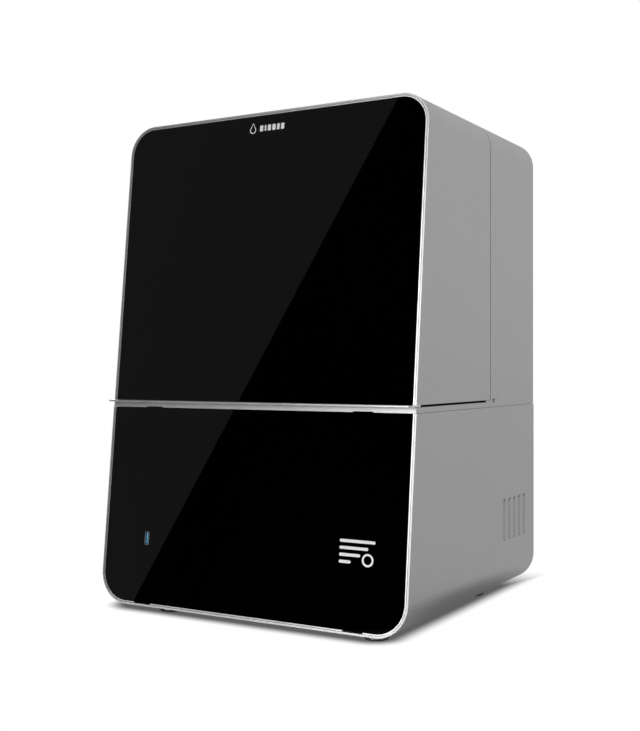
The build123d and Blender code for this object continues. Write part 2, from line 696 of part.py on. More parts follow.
# ---------------------------------------------------------------------------- electronics
board_foot = CASE_BOTTOM + SHEET
board_top = board_foot + POST_H + BOARD[2]
with BuildPart() as main_board:
    with BuildSketch(Plane.XY.offset(board_foot)):
        with Locations(BOARD_SPOT):
            with GridLocations(BOARD_POSTS[0], BOARD_POSTS[1], 2, 2):
                Circle(POST_R)
    extrude(amount=POST_H)
    with BuildSketch(Plane.XY.offset(board_foot + POST_H)):
        with Locations(BOARD_SPOT):
            Rectangle(BOARD[0], BOARD[1])
    extrude(amount=BOARD[2])
    with BuildSketch(Plane.XY.offset(board_top)):
        with Locations(*CHIP_SPOTS):
            Rectangle(CHIP_SIZE, CHIP_SIZE)
        with Locations(*PLUG_SPOTS):
            Rectangle(PLUG_SIZE[0], PLUG_SIZE[1])
    extrude(amount=CHIP_H)
    with BuildSketch(Plane.XY.offset(board_top)):
        with Locations(*CAN_SPOTS):
            Circle(CAN_R)
    extrude(amount=CAN_H)
write_piece(main_board, "main_board")

psu_middle = Location((PSU_SPOT[0], PSU_SPOT[1], board_foot + PSU_SIZE[2] / 2))
with BuildPart() as power_supply:
    with Locations(psu_middle):
        Box(*PSU_SIZE)
        Box(*(size - 2 * PSU_WALL for size in PSU_SIZE), mode=Mode.SUBTRACT)
    with BuildSketch(Plane.XY.offset(board_foot + PSU_SIZE[2] - 2 * PSU_WALL)):
        with Locations(PSU_SPOT):
            with GridLocations(*PSU_HOLES):
                Circle(PSU_HOLE_R)
    extrude(amount=4 * PSU_WALL, mode=Mode.SUBTRACT)
write_piece(power_supply, "power_supply")

# ============================================================================ light engine
led_top = LED_BOARD_Z + LED_BOARD[2]
fin_top = LED_BOARD_Z - HEATSINK[2]
with BuildPart() as led_heatsink:
    with Locations((0, STAGE_Y, fin_top + HEATSINK[2] / 2)):
        Box(*HEATSINK)
    with Locations((0, STAGE_Y, fin_top - FIN[2] / 2)):
        with GridLocations(FIN_PITCH, 1, FIN_COUNT, 1):
            Box(*FIN)
write_piece(led_heatsink, "led_heatsink")

with BuildPart() as led_board:
    with Locations((0, STAGE_Y, LED_BOARD_Z + LED_BOARD[2] / 2)):
        Box(*LED_BOARD)
write_piece(led_board, "led_board")

with BuildPart() as led_lenses:
    with Locations((0, STAGE_Y, led_top)):
        with GridLocations(LED_PITCH, LED_PITCH, LED_COLUMNS, LED_ROWS):
            Sphere(LENS_R, arc_size1=0, align=(Align.CENTER, Align.CENTER, Align.MIN))
write_piece(led_lenses, "led_lenses")

with BuildPart() as light_box:
    for grow, mode in ((HOPPER_WALL, Mode.ADD), (0.0, Mode.SUBTRACT)):
        for level, size in ((led_top, HOPPER_FOOT), (DECK_LOW, (SCREEN_W, SCREEN_D))):
            with BuildSketch(Plane((0, STAGE_Y, level))):
                Rectangle(size[0] + 2 * grow, size[1] + 2 * grow)
        loft(mode=mode)
write_piece(light_box, "light_box")

led_fan_plane = Plane((0, STAGE_Y, fin_top - FIN[2] - FAN_DEPTH))
led_fan_frame = fan_frame(led_fan_plane)
write_piece(led_fan_frame, "led_fan_frame")
led_fan_rotor = fan_rotor(led_fan_plane)
write_piece(led_fan_rotor, "led_fan_rotor")

# ============================================================================ deck and screen
upper_panel_y = (UPPER_REAR - PANEL_RECESS - PANEL_T, UPPER_REAR - PANEL_RECESS)
deck_half = UPPER_HALF - RIM_W
deck_front = front_y(DECK_TOP) + RIM_W
deck_rear = upper_panel_y[0]
screen_low = DECK_TOP - LCD_T - COVER_GLASS_T
stud_holes = [(side * VAT_KNOB_X, STAGE_Y) for side in SIDES]
with BuildPart() as deck_plate:
    block((-deck_half, deck_half), (deck_front, deck_rear), (DECK_LOW, DECK_TOP))
    with BuildSketch(Plane.XY.offset(DECK_LOW)):
        with Locations((0, STAGE_Y)):
            Rectangle(WINDOW_W, WINDOW_D)
    extrude(amount=RIM_H, mode=Mode.SUBTRACT)
    with BuildSketch(Plane.XY.offset(screen_low)):
        with Locations((0, STAGE_Y)):
            Rectangle(SCREEN_W, SCREEN_D)
    extrude(amount=RIM_H, mode=Mode.SUBTRACT)
    with BuildSketch(Plane.XY.offset(DECK_LOW)):
        with Locations(*stud_holes):
            Circle(STUD_HOLE_R + RUNNING)
        with Locations((0, SCREW_Y)):
            Circle(DECK_BORE_R)
    extrude(amount=RIM_H, mode=Mode.SUBTRACT)
write_piece(deck_plate, "deck_plate")

with BuildPart() as lcd_panel:
    with BuildSketch(Plane((0, STAGE_Y, screen_low))):
        Rectangle(SCREEN_W, SCREEN_D)
    extrude(amount=LCD_T)
write_piece(lcd_panel, "lcd_panel")

with BuildPart() as screen_glass:
    with BuildSketch(Plane((0, STAGE_Y, screen_low + LCD_T))):
        Rectangle(SCREEN_W, SCREEN_D)
    extrude(amount=COVER_GLASS_T)
write_piece(screen_glass, "screen_glass")

# ============================================================================ Z axis
with BuildPart() as z_column:
    column_rear = COLUMN_FRONT + COLUMN_D
    block((-COLUMN_W / 2, COLUMN_W / 2), (COLUMN_FRONT, column_rear), (DECK_TOP, COLUMN_TOP))
    channel_rear = COLUMN_FRONT + CHANNEL_D
    channel_x = (-CHANNEL_W / 2, CHANNEL_W / 2)
    block(channel_x, (COLUMN_FRONT, channel_rear), (DECK_TOP, COLUMN_TOP), mode=Mode.SUBTRACT)
write_piece(z_column, "z_column")

with BuildPart() as linear_rails:
    for side in SIDES:
        rail_x = (side * RAIL_X - RAIL_W / 2, side * RAIL_X + RAIL_W / 2)
        rail_z = (DECK_TOP + RAIL_INSET[0], COLUMN_TOP - RAIL_INSET[1])
        block(rail_x, (COLUMN_FRONT - RAIL_T, COLUMN_FRONT), rail_z)
    rail_rows = (COLUMN_TOP + DECK_TOP) / 2
    with Locations(Plane.XZ.offset(RAIL_T - COLUMN_FRONT)):
        with Locations((0, rail_rows)):
            with GridLocations(2 * RAIL_X, RAIL_HOLE_PITCH, 2, RAIL_HOLE_COUNT):
                CounterBoreHole(*RAIL_HOLE, depth=RAIL_T)
write_piece(linear_rails, "linear_rails")


def screw_bearing(z_low, height, name):
    """A bearing block in the column's channel, bored for the screw's journal."""
    with BuildPart() as bearing:
        block(channel_x, (COLUMN_FRONT + 1, channel_rear), (z_low, z_low + height))
        with BuildSketch(Plane((0, SCREW_Y, z_low))):
            Circle(JOURNAL_R + RUNNING)
        extrude(amount=height, mode=Mode.SUBTRACT)
    write_piece(bearing, name)


upper_bearing_low = COLUMN_TOP - HEAD_ROOM
screw_bearing(DECK_TOP, BEARING_H, "lower_bearing")
screw_bearing(upper_bearing_low, BEARING_H, "upper_bearing")

coupling_low = MOTOR_TOP + 1.5
coupling_top = DECK_LOW - 3.0
shaft_end = coupling_low + COUPLING_DEEP
with BuildPart() as ball_screw:
    with BuildSketch(Plane((0, SCREW_Y, DECK_TOP + BEARING_H + 0.5))):
        Circle(SCREW_R)
    extrude(amount=upper_bearing_low - DECK_TOP - BEARING_H - 1.0)
    with BuildSketch(Plane((0, SCREW_Y, shaft_end))):
        Circle(JOURNAL_R)
    extrude(amount=upper_bearing_low + BEARING_H + 3 - shaft_end)
write_piece(ball_screw, "ball_screw")

with BuildPart() as shaft_coupling:
    with BuildSketch(Plane((0, SCREW_Y, coupling_low))):
        Circle(COUPLING_R)
    extrude(amount=coupling_top - coupling_low)
    with BuildSketch(Plane((0, SCREW_Y, coupling_low))):
        Circle(SHAFT_R)
    extrude(amount=COUPLING_DEEP, mode=Mode.SUBTRACT)
    with BuildSketch(Plane((0, SCREW_Y, shaft_end))):
        Circle(JOURNAL_R)
    extrude(amount=coupling_top - shaft_end, mode=Mode.SUBTRACT)
    for rise in COUPLING_RINGS:
        with Locations((0, SCREW_Y, coupling_low + rise)):
            Torus(COUPLING_R, RING_GROOVE_R, mode=Mode.SUBTRACT)
write_piece(shaft_coupling, "shaft_coupling")

with BuildPart() as motor_shaft:
    with BuildSketch(Plane((0, SCREW_Y, MOTOR_TOP - COUPLING_DEEP))):
        Circle(SHAFT_R)
    extrude(amount=shaft_end - MOTOR_TOP + COUPLING_DEEP)
write_piece(motor_shaft, "motor_shaft")

with BuildPart() as z_motor:
    with BuildSketch(Plane((0, SCREW_Y, MOTOR_TOP - MOTOR_L))):
        RectangleRounded(MOTOR_SIZE, MOTOR_SIZE, MOTOR_CORNER)
    extrude(amount=MOTOR_L - PILOT_H)
    with BuildSketch(Plane((0, SCREW_Y, MOTOR_TOP - PILOT_H))):
        Circle(PILOT_R)
    extrude(amount=PILOT_H)
    with BuildSketch(Plane((0, SCREW_Y, MOTOR_TOP - COUPLING_DEEP - 1))):
        Circle(SHAFT_R + RUNNING)
    extrude(amount=COUPLING_DEEP + 1, mode=Mode.SUBTRACT)
write_piece(z_motor, "z_motor")

with BuildPart() as motor_posts:
    with BuildSketch(Plane((0, SCREW_Y, MOTOR_TOP - PILOT_H))):
        with GridLocations(MOTOR_HOLES, MOTOR_HOLES, 2, 2):
            Circle(MOTOR_POST_R)
    extrude(amount=MOTOR_DROP + PILOT_H)
write_piece(motor_posts, "motor_posts")

with BuildPart() as home_sensor:
    sensor_front = COLUMN_FRONT + 4
    block((COLUMN_W / 2, COLUMN_W / 2 + SENSOR_W), (sensor_front, sensor_front + SENSOR_D), SENSOR_Z)
    flag_x = (COLUMN_W / 2 + 2, COLUMN_W / 2 + 2 + FLAG_W)
    block(flag_x, (sensor_front - FLAG_REACH, sensor_front), FLAG_Z)
write_piece(home_sensor, "home_sensor")

# ---------------------------------------------------------------------------- carriage
carriage_top = CARRIAGE_LOW + CARRIAGE_H
block_lows = (CARRIAGE_LOW + BLOCK_INSET, carriage_top - BLOCK_INSET - BLOCK_L)
with BuildPart() as carriage_blocks:
    for side in SIDES:
        for low in block_lows:
            wide = (side * RAIL_X - BLOCK_W / 2, side * RAIL_X + BLOCK_W / 2)
            slot = (side * RAIL_X - RAIL_W / 2 - RUNNING, side * RAIL_X + RAIL_W / 2 + RUNNING)
            block(wide, (CARRIAGE_REAR, CARRIAGE_REAR + BLOCK_T), (low, low + BLOCK_L))
            rail_room = (COLUMN_FRONT - RAIL_T - RUNNING, COLUMN_FRONT)
            block(slot, rail_room, (low - 1, low + BLOCK_L + 1), mode=Mode.SUBTRACT)
write_piece(carriage_blocks, "carriage_blocks")

with BuildPart() as carriage_plate:
    with BuildSketch(Plane.XZ.offset(-CARRIAGE_REAR)):
        with Locations((0, CARRIAGE_LOW + CARRIAGE_H / 2)):
            RectangleRounded(CARRIAGE_W, CARRIAGE_H, CARRIAGE_CORNER)
    extrude(amount=CARRIAGE_T)
    chamfer(carriage_plate.faces().sort_by(Axis.Y)[0].edges(), 0.8)
write_piece(carriage_plate, "carriage_plate")

with BuildPart() as screw_nut:
    block((-NUT_R, NUT_R), (CARRIAGE_REAR, SCREW_Y), (NUT_LOW, NUT_LOW + NUT_H))
    with BuildSketch(Plane((0, SCREW_Y, NUT_LOW))):
        Circle(NUT_R)
    extrude(amount=NUT_H)
    with BuildSketch(Plane((0, SCREW_Y, NUT_LOW))):
        Circle(SCREW_R + RUNNING)
    extrude(amount=NUT_H, mode=Mode.SUBTRACT)
write_piece(screw_nut, "screw_nut")

# ============================================================================ platform
tine_top = TINE_LOW + TINE_T
arm_front = STAGE_Y - STEM_HALF + STEM_FRONT_IN
web_front = STEM_REAR + 2 * STEM_GAP
with BuildPart() as plate_arm:
    block((-ARM_HALF, ARM_HALF), (web_front, CARRIAGE_FRONT), (TINE_LOW, ARM_TOP))
    for side in SIDES:
        tine_x = (side * (NECK_HALF + 0.5), side * ARM_HALF)
        block(tine_x, (arm_front, web_front), (TINE_LOW, tine_top))
    block((-BRIDGE_HALF, BRIDGE_HALF), (arm_front + BRIDGE_SETBACK, web_front), (BRIDGE_LOW, ARM_TOP))
    for side in SIDES:
        pocket_x = (side * POCKET_IN, side * (ARM_HALF - POCKET_WALL))
        pocket_y = (web_front + POCKET_FRONT, CARRIAGE_FRONT - POCKET_REAR)
        block(pocket_x, pocket_y, (TINE_LOW + POCKET_FLOOR, ARM_TOP), mode=Mode.SUBTRACT)
    with BuildSketch(Plane((0, STAGE_Y, BRIDGE_LOW))):
        Circle(STUD_R + RUNNING)
    extrude(amount=ARM_TOP - BRIDGE_LOW, mode=Mode.SUBTRACT)
    fillet(plate_arm.edges().filter_by(Axis.Z).group_by(Axis.Y)[0], ARM_ROUND)
write_piece(plate_arm, "plate_arm")

plate_top = PLATE_LOW + PLATE_T
neck_low = TINE_LOW - STEM_GAP
cap_low = tine_top + STEM_GAP
cap_top = BRIDGE_LOW - CAP_BELOW
with BuildPart() as plate_stem:
    stem_y = (STAGE_Y - STEM_HALF + STEM_FRONT_IN, STEM_REAR)
    block((-STEM_HALF, STEM_HALF), stem_y, (plate_top, neck_low))
    block((-NECK_HALF, NECK_HALF), stem_y, (neck_low, cap_low))
    block((-STEM_HALF, STEM_HALF), stem_y, (cap_low, cap_top))
    chamfer(plate_stem.faces().sort_by(Axis.Z)[-1].edges(), STEM_CHAMFER)
write_piece(plate_stem, "plate_stem")

with BuildPart() as build_plate:
    with BuildSketch(Plane((0, STAGE_Y, PLATE_LOW))):
        RectangleRounded(PLATE_W, PLATE_D, PLATE_CORNER)
    extrude(amount=PLATE_T)
    chamfer(build_plate.faces().sort_by(Axis.Z)[-1].edges(), PLATE_CHAMFER)
write_piece(build_plate, "build_plate")

knob_low = ARM_TOP + KNOB_LIFT
with BuildPart() as clamp_knob:
    with BuildSketch(Plane((0, STAGE_Y, knob_low))):
        Circle(KNOB_R)
        with PolarLocations(KNOB_R + FLUTE_OUT, KNOB_FLUTES):
            Circle(FLUTE_R, mode=Mode.SUBTRACT)
    extrude(amount=KNOB_H)
    chamfer(clamp_knob.faces().sort_by(Axis.Z)[-1].edges(), KNOB_CHAMFER)
    with BuildSketch(Plane((0, STAGE_Y, cap_top + STEM_GAP))):
        Circle(STUD_R)
    extrude(amount=knob_low - cap_top + 2)
write_piece(clamp_knob, "clamp_knob")

# ============================================================================ vat
bowl_low = FILM_TOP
with BuildPart() as vat_frame:
    with BuildSketch(Plane((0, STAGE_Y, bowl_low))):
        RectangleRounded(VAT_W, VAT_D, VAT_CORNER)
        RectangleRounded(BOWL_W, BOWL_D, BOWL_CORNER, mode=Mode.SUBTRACT)
    extrude(amount=VAT_TOP - bowl_low)
    chamfer(vat_frame.faces().sort_by(Axis.Z)[-1].edges(), VAT_RIM_CHAMFER)
    for side in SIDES:
        ear_x = (side * (VAT_W / 2 - EAR_BITE), side * (VAT_KNOB_X + EAR_PAST))
        ear_y = (STAGE_Y - EAR_HALF, STAGE_Y + EAR_HALF)
        block(ear_x, ear_y, (VAT_EAR_Z, VAT_EAR_Z + VAT_EAR_T))
        slot_x = (side * VAT_KNOB_X - EAR_SLOT_R, side * VAT_KNOB_X + EAR_SLOT_R)
        ear_z = (VAT_EAR_Z - CUT_PAST, VAT_EAR_Z + VAT_EAR_T + CUT_PAST)
        block(slot_x, (STAGE_Y, STAGE_Y + EAR_HALF + CUT_PAST), ear_z, mode=Mode.SUBTRACT)
        with Locations((side * VAT_KNOB_X, STAGE_Y, VAT_EAR_Z + VAT_EAR_T / 2)):
            Cylinder(EAR_SLOT_R, VAT_EAR_T + 2 * CUT_PAST, mode=Mode.SUBTRACT)
    # Pouring notch over the front left corner.
    with BuildSketch(Plane((0, 0, VAT_TOP - NOTCH_DEEP))):
        with Locations((-BOWL_W / 2 - NOTCH_OUT, STAGE_Y - BOWL_D / 2 - NOTCH_OUT)):
            Rectangle(NOTCH[0], NOTCH[1], rotation=45)
    extrude(amount=NOTCH[2], mode=Mode.SUBTRACT)
write_piece(vat_frame, "vat_frame")

with BuildPart() as vat_film:
    with BuildSketch(Plane((0, STAGE_Y, FILM_LOW))):
        RectangleRounded(BOWL_W + 2 * FILM_MARGIN, BOWL_D + 2 * FILM_MARGIN, BOWL_CORNER)
    extrude(amount=FILM_T)
write_piece(vat_film, "vat_film")

ring_low = DECK_TOP + LIP_GAP
with BuildPart() as film_ring:
    with BuildSketch(Plane((0, STAGE_Y, ring_low))):
        RectangleRounded(BOWL_W + 2 * RING_MARGIN, BOWL_D + 2 * RING_MARGIN, RING_CORNER)
        RectangleRounded(BOWL_W, BOWL_D, BOWL_CORNER, mode=Mode.SUBTRACT)
        with GridLocations(BOWL_W + RING_MARGIN, RING_SIDE_HOLES[0], 2, RING_SIDE_HOLES[1]):
            Circle(RING_HOLE_R, mode=Mode.SUBTRACT)
        with GridLocations(RING_END_HOLES[0], BOWL_D + RING_MARGIN, RING_END_HOLES[1], 2):
            Circle(RING_HOLE_R, mode=Mode.SUBTRACT)
    extrude(amount=FILM_RING_T)
write_piece(film_ring, "film_ring")


def vat_knob(side, name):
    """A knurled thumb screw that holds one ear of the vat down on the deck."""
    head_low = VAT_EAR_Z + VAT_EAR_T + STEM_GAP
    with BuildPart() as knob:
        with BuildSketch(Plane((side * VAT_KNOB_X, STAGE_Y, head_low))):
            Circle(THUMB_R)
            with PolarLocations(KNURL_OUT, KNURLS):
                Circle(KNURL_R, mode=Mode.SUBTRACT)
        extrude(amount=THUMB_H)
        chamfer(knob.faces().sort_by(Axis.Z)[-1].edges(), THUMB_CHAMFER)
        with BuildSketch(Plane((side * VAT_KNOB_X, STAGE_Y, DECK_LOW + 1))):
            Circle(THUMB_STUD_R)
        extrude(amount=head_low - DECK_LOW)
    write_piece(knob, name)


vat_knob(-1, "vat_knob_left")
vat_knob(1, "vat_knob_right")

# ============================================================================ rear housing
stub_y = SPLIT + STUB_BACK + STUB_SIZE[0] / 2
stub_z = CASE_BOTTOM + STUB_LOW + STUB_SIZE[1] / 2
with BuildPart() as rear_housing:
    housing_z = (DECK_LOW, CASE_TOP)
    case_prism(UPPER_INSET, housing_z, (HOUSING_FRONT, UPPER_REAR))
    case_prism(UPPER_INSET + SHEET, housing_z, (HOUSING_FRONT, UPPER_REAR), mode=Mode.SUBTRACT)
    for side in SIDES:
        rim_x = (side * deck_half, side * UPPER_HALF)
        block(rim_x, (FRONT_FOOT, UPPER_REAR), (DECK_LOW, DECK_TOP))
        pad_x = (side * (UPPER_HALF - SHEET), side * UPPER_HALF)
        pad_z = (DECK_LOW, COVER_LOW - LIP_GAP)
        block(pad_x, (HOUSING_FRONT - PAD_L, HOUSING_FRONT + 1), pad_z)
        with BuildSketch(Plane.YZ.offset(side * (UPPER_HALF - 1))):
            with Locations((stub_y, stub_z)):
                RectangleRounded(STUB_SIZE[0], STUB_SIZE[1], STUB_ROUND)
        extrude(amount=side * (STUB_RISE + 1))
    block((-UPPER_HALF, UPPER_HALF), (FRONT_FOOT, deck_front), (DECK_LOW, DECK_TOP))
    block((-deck_half, deck_half), (deck_rear, UPPER_REAR), (DECK_LOW, DECK_TOP))
    split(bisect_by=FRONT_PLANE, keep=Keep.BOTTOM)
    # Notches that the glass tabs rise into.
    for side in SIDES:
        notch_x = (side * TAB_X - TAB_W / 2 - TAB_ROOM, side * TAB_X + TAB_W / 2 + TAB_ROOM)
        notch_y = (FRONT_FOOT, front_y(DECK_LOW) + FLANGE_FAR)
        notch_z = (DECK_LOW - CUT_PAST, BASE_TOP + TAB_RISE + TAB_ROOM)
        block(notch_x, notch_y, notch_z, mode=Mode.SUBTRACT)
write_piece(rear_housing, "rear_housing")

with BuildPart() as rear_upper_panel:
    case_prism(UPPER_INSET + SHEET, (DECK_TOP, CASE_TOP), upper_panel_y)
    with BuildSketch(rear_spot(0, VENT_Z, upper_panel_y[1])):
        with GridLocations(*VENT_PITCH, *VENT_COUNT):
            SlotOverall(*VENT_SLOT)
    extrude(amount=-2 * PANEL_T, mode=Mode.SUBTRACT)
write_piece(rear_upper_panel, "rear_upper_panel")


def screw_heads(y_face, spots):
    """Button heads that stand on a rear panel, each with its hexagon socket."""
    with BuildSketch(Plane.XZ.offset(-y_face)) as heads:
        with Locations(*spots):
            Circle(HEAD_R)
    extrude(heads.sketch, amount=-HEAD_H)
    with BuildSketch(Plane.XZ.offset(-y_face - HEAD_H)) as sockets:
        with Locations(*spots):
            RegularPolygon(HEX_R, 6)
    extrude(sockets.sketch, amount=HEX_DEEP, mode=Mode.SUBTRACT)


lower_rows = (CASE_BOTTOM + SCREW_CORNER, BASE_TOP - SCREW_IN)
upper_rows = (DECK_TOP + SCREW_IN, (DECK_TOP + CASE_TOP) / 2, CASE_TOP - SCREW_CORNER)
with BuildPart() as panel_screws:
    screw_heads(panel_y[1], [(x * LOWER_SCREW_X, z) for x in SIDES for z in lower_rows])
    screw_heads(upper_panel_y[1], [(x * UPPER_SCREW_X, z) for x in SIDES for z in upper_rows])
write_piece(panel_screws, "panel_screws")

# ============================================================================ cover
cover_z = (COVER_LOW, CASE_TOP)
cover_wall = UPPER_INSET + SHEET
cover_line = cover_wall + GROOVE
cover_glass_edge = cover_line + BEZEL_LINE
with BuildPart() as cover_shell:
    case_prism(UPPER_INSET, cover_z, (FRONT_FOOT - CUT_PAST, COVER_REAR))
    case_prism(cover_wall, cover_z, (FRONT_FOOT - CUT_PAST, COVER_REAR), mode=Mode.SUBTRACT)
    split(bisect_by=FRONT_PLANE, keep=Keep.BOTTOM)
write_piece(cover_shell, "cover_shell")

cover_rim = front_slab(cover_line, cover_z, 0, BEZEL_FAR)
cover_ledge = front_slab(cover_wall, cover_z, BEZEL_FAR, FLANGE_FAR)
cover_seat = front_slab(cover_glass_edge, cover_z, -CUT_PAST, BEZEL_FAR)
cover_window = front_slab(cover_glass_edge + FLANGE_W, cover_z, 0, FLANGE_FAR + CUT_PAST)
with BuildPart() as cover_bezel:
    add(cover_rim)
    add(cover_ledge)
    add(cover_seat, mode=Mode.SUBTRACT)
    add(cover_window, mode=Mode.SUBTRACT)
write_piece(cover_bezel, "cover_bezel")

pane_z = (COVER_LOW + GLASS_GAP, CASE_TOP)
cover_pane = front_slab(cover_glass_edge + GLASS_GAP, pane_z, GLASS_SINK, BEZEL_FAR)
with BuildPart() as cover_glass:
    add(cover_pane)
write_piece(cover_glass, "cover_glass")

lip_front = front_y(LIP_LOW) - LIP_REACH
lip_rear = front_y(LIP_LOW) + LIP_TUCK
with BuildPart() as cover_lip:
    with BuildSketch(Plane.XY.offset(LIP_LOW)) as lip_plan:
        with Locations((0, (lip_front + lip_rear) / 2)):
            Rectangle(2 * UPPER_HALF, lip_rear - lip_front)
        fillet(lip_plan.vertices().group_by(Axis.Y)[0], LIP_CORNER)
    extrude(amount=LIP_T)
    fillet(cover_lip.faces().sort_by(Axis.Y)[0].edges().filter_by(Axis.X), LIP_ROUND)
write_piece(cover_lip, "cover_lip")

# ---------------------------------------------------------------------------- hinges
pivot_plane = Plane(origin=(0, PIVOT_Y, PIVOT_Z), x_dir=(0, 1, 0), z_dir=(1, 0, 0))
neck_gap = ROOF_UNDER - PIVOT_Z
with BuildPart() as hinge_arms:
    for side in SIDES:
        arm_plane = pivot_plane.offset(side * HINGE_X - ARM_T / 2)
        with BuildSketch(arm_plane):
            Circle(NECK_OUT)
            Circle(NECK_IN, mode=Mode.SUBTRACT)
            with Locations((-NECK_OUT, -NECK_OUT)):
                Rectangle(2 * NECK_OUT, 2 * NECK_OUT, mode=Mode.INTERSECT)
            with Locations((0, -NECK_IN / 2 - 2)):
                Rectangle(WEB_W, NECK_IN)
            Circle(EYE_R)
            Circle(PIN_R + RUNNING, mode=Mode.SUBTRACT)
            with Locations(((-NECK_IN - NECK_OUT) / 2, neck_gap / 2)):
                Rectangle(NECK_OUT - NECK_IN, neck_gap)
        extrude(amount=ARM_T)
        foot_x = (side * HINGE_X - ARM_FOOT[0] / 2, side * HINGE_X + ARM_FOOT[0] / 2)
        foot_y = (PIVOT_Y - NECK_IN - ARM_FOOT[1], PIVOT_Y - NECK_IN)
        block(foot_x, foot_y, (ROOF_UNDER - ARM_FOOT[2], ROOF_UNDER))
write_piece(hinge_arms, "hinge_arms")

with BuildPart() as hinge_brackets:
    for side in SIDES:
        base_x = (side * HINGE_X - BRACKET_FOOT[0] / 2, side * HINGE_X + BRACKET_FOOT[0] / 2)
        base_y = (PIVOT_Y - BRACKET_FOOT[1] / 2, PIVOT_Y + BRACKET_FOOT[1] / 2)
        block(base_x, base_y, (ROOF_UNDER - BRACKET_FOOT[2], ROOF_UNDER))
        for cheek in SIDES:
            near = side * HINGE_X + cheek * (ARM_T / 2 + CHEEK_GAP)
            far = near + cheek * CHEEK_T
            with BuildSketch(pivot_plane.offset(min(near, far))):
                Circle(CHEEK_R)
                with Locations((0, neck_gap / 2)):
                    Rectangle(2 * CHEEK_R, neck_gap)
                Circle(PIN_R, mode=Mode.SUBTRACT)
            extrude(amount=CHEEK_T)
write_piece(hinge_brackets, "hinge_brackets")

with BuildPart() as hinge_pins:
    for side in SIDES:
        with BuildSketch(pivot_plane.offset(side * HINGE_X - HINGE_PIN_L / 2)):
            Circle(PIN_R)
        extrude(amount=HINGE_PIN_L)
write_piece(hinge_pins, "hinge_pins")
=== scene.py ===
# %% [markdown]
# # Finishing a resin printer
#
# This notebook takes a finished machine, whose parts were all drawn to size, and gives it the looks
# of the real one: blasted aluminium, black glass, turned feet, a rolled screw thread. The parts that
# were drawn to size stay where they are. What is added here is finish, and the small detail
# that a drawing leaves out.

# %% Load the machine
import json
from math import cos, pi, radians, sin

import bpy
from mathutils import Matrix, Vector


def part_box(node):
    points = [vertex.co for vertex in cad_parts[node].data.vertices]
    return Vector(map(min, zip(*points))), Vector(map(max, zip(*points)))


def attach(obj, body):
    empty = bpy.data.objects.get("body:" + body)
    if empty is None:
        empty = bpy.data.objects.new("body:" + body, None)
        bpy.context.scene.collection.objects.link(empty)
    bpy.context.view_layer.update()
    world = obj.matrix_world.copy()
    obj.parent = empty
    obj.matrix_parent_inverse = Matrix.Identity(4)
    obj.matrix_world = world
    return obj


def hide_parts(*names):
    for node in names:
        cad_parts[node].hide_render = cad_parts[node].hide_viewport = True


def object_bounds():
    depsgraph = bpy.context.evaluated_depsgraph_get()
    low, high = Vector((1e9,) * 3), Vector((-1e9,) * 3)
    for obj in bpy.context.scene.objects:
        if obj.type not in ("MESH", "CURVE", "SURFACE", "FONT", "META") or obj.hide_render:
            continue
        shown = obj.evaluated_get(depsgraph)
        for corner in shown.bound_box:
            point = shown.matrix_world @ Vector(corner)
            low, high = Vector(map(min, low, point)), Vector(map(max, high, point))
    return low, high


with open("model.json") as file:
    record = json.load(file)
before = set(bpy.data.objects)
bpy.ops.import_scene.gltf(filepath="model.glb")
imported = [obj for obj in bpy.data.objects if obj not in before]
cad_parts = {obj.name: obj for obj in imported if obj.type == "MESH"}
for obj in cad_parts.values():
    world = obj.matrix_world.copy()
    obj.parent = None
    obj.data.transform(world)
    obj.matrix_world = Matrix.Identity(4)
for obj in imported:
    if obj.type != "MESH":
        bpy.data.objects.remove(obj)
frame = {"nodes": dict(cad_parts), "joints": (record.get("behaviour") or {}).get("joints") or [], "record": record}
drawn_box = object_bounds()
MM = 0.001
low, high = drawn_box
middle = (low + high) / 2
print("parts:", len(frame["nodes"]), "size in mm:", [round((b - a) / MM, 1) for a, b in zip(low, high)])

# %% [markdown]
# ## The camera
#
# The machine is seen from its right, a third of a right angle round from the front, at half its own
# height. The camera stands close, only about three and a half machine widths away, so that the near
# edge looks taller than the far one. A level camera keeps the upright edges upright.

# %% Camera
CAMERA_SPOT = (0.6823, -1.187, 0.2922)
CAMERA_TURN = radians(30.25)
camera = bpy.data.objects.new("camera", bpy.data.cameras.new("camera"))
bpy.context.scene.collection.objects.link(camera)
camera.location = CAMERA_SPOT
camera.rotation_euler = (pi / 2, 0, CAMERA_TURN)
camera.data.sensor_width = 36
camera.data.lens = 54.48
camera.data.clip_start = 0.05
bpy.context.scene.camera = camera
bpy.context.scene.view_settings.view_transform = "Standard"
print("camera is", round((camera.location - middle).length, 2), "m from the machine")

# %% [markdown]
# ## Wiring nodes
#
# Sky, table and finishes are all node trees, and the same few steps come back in each of them. These
# helpers place a node, wire two sockets, grade one value smoothly into another and do sums on values,
# so that each tree below reads as a few sentences.


# %% Node helpers
def node(tree, kind, **values):
    """A new node, with its inputs and properties set by name."""
    made = tree.nodes.new(kind)
    for key, value in values.items():
        if key in made.inputs:
            made.inputs[key].default_value = value
        else:
            setattr(made, key, value)
    return made


def join(tree, source, target):
    """A wire between an output and an input."""
    tree.links.new(source, target)


def graded(tree, source, start, end, first, last):
    """Runs smoothly from `first` to `last` while the source runs from `start` to `end`."""
    made = node(tree, "ShaderNodeMapRange", interpolation_type="SMOOTHSTEP")
    for key, value in {"From Min": start, "From Max": end, "To Min": first, "To Max": last}.items():
        made.inputs[key].default_value = value
    join(tree, source, made.inputs["Value"])
    return made.outputs[0]


def calc(tree, operation, *values, clamp=False):
    """A sum on values, each of them a number or an output."""
    made = node(tree, "ShaderNodeMath", operation=operation, use_clamp=clamp)
    for value, socket in zip(values, made.inputs):
        if isinstance(value, (int, float)):
            socket.default_value = value
        else:
            join(tree, value, socket)
    return made.outputs[0]


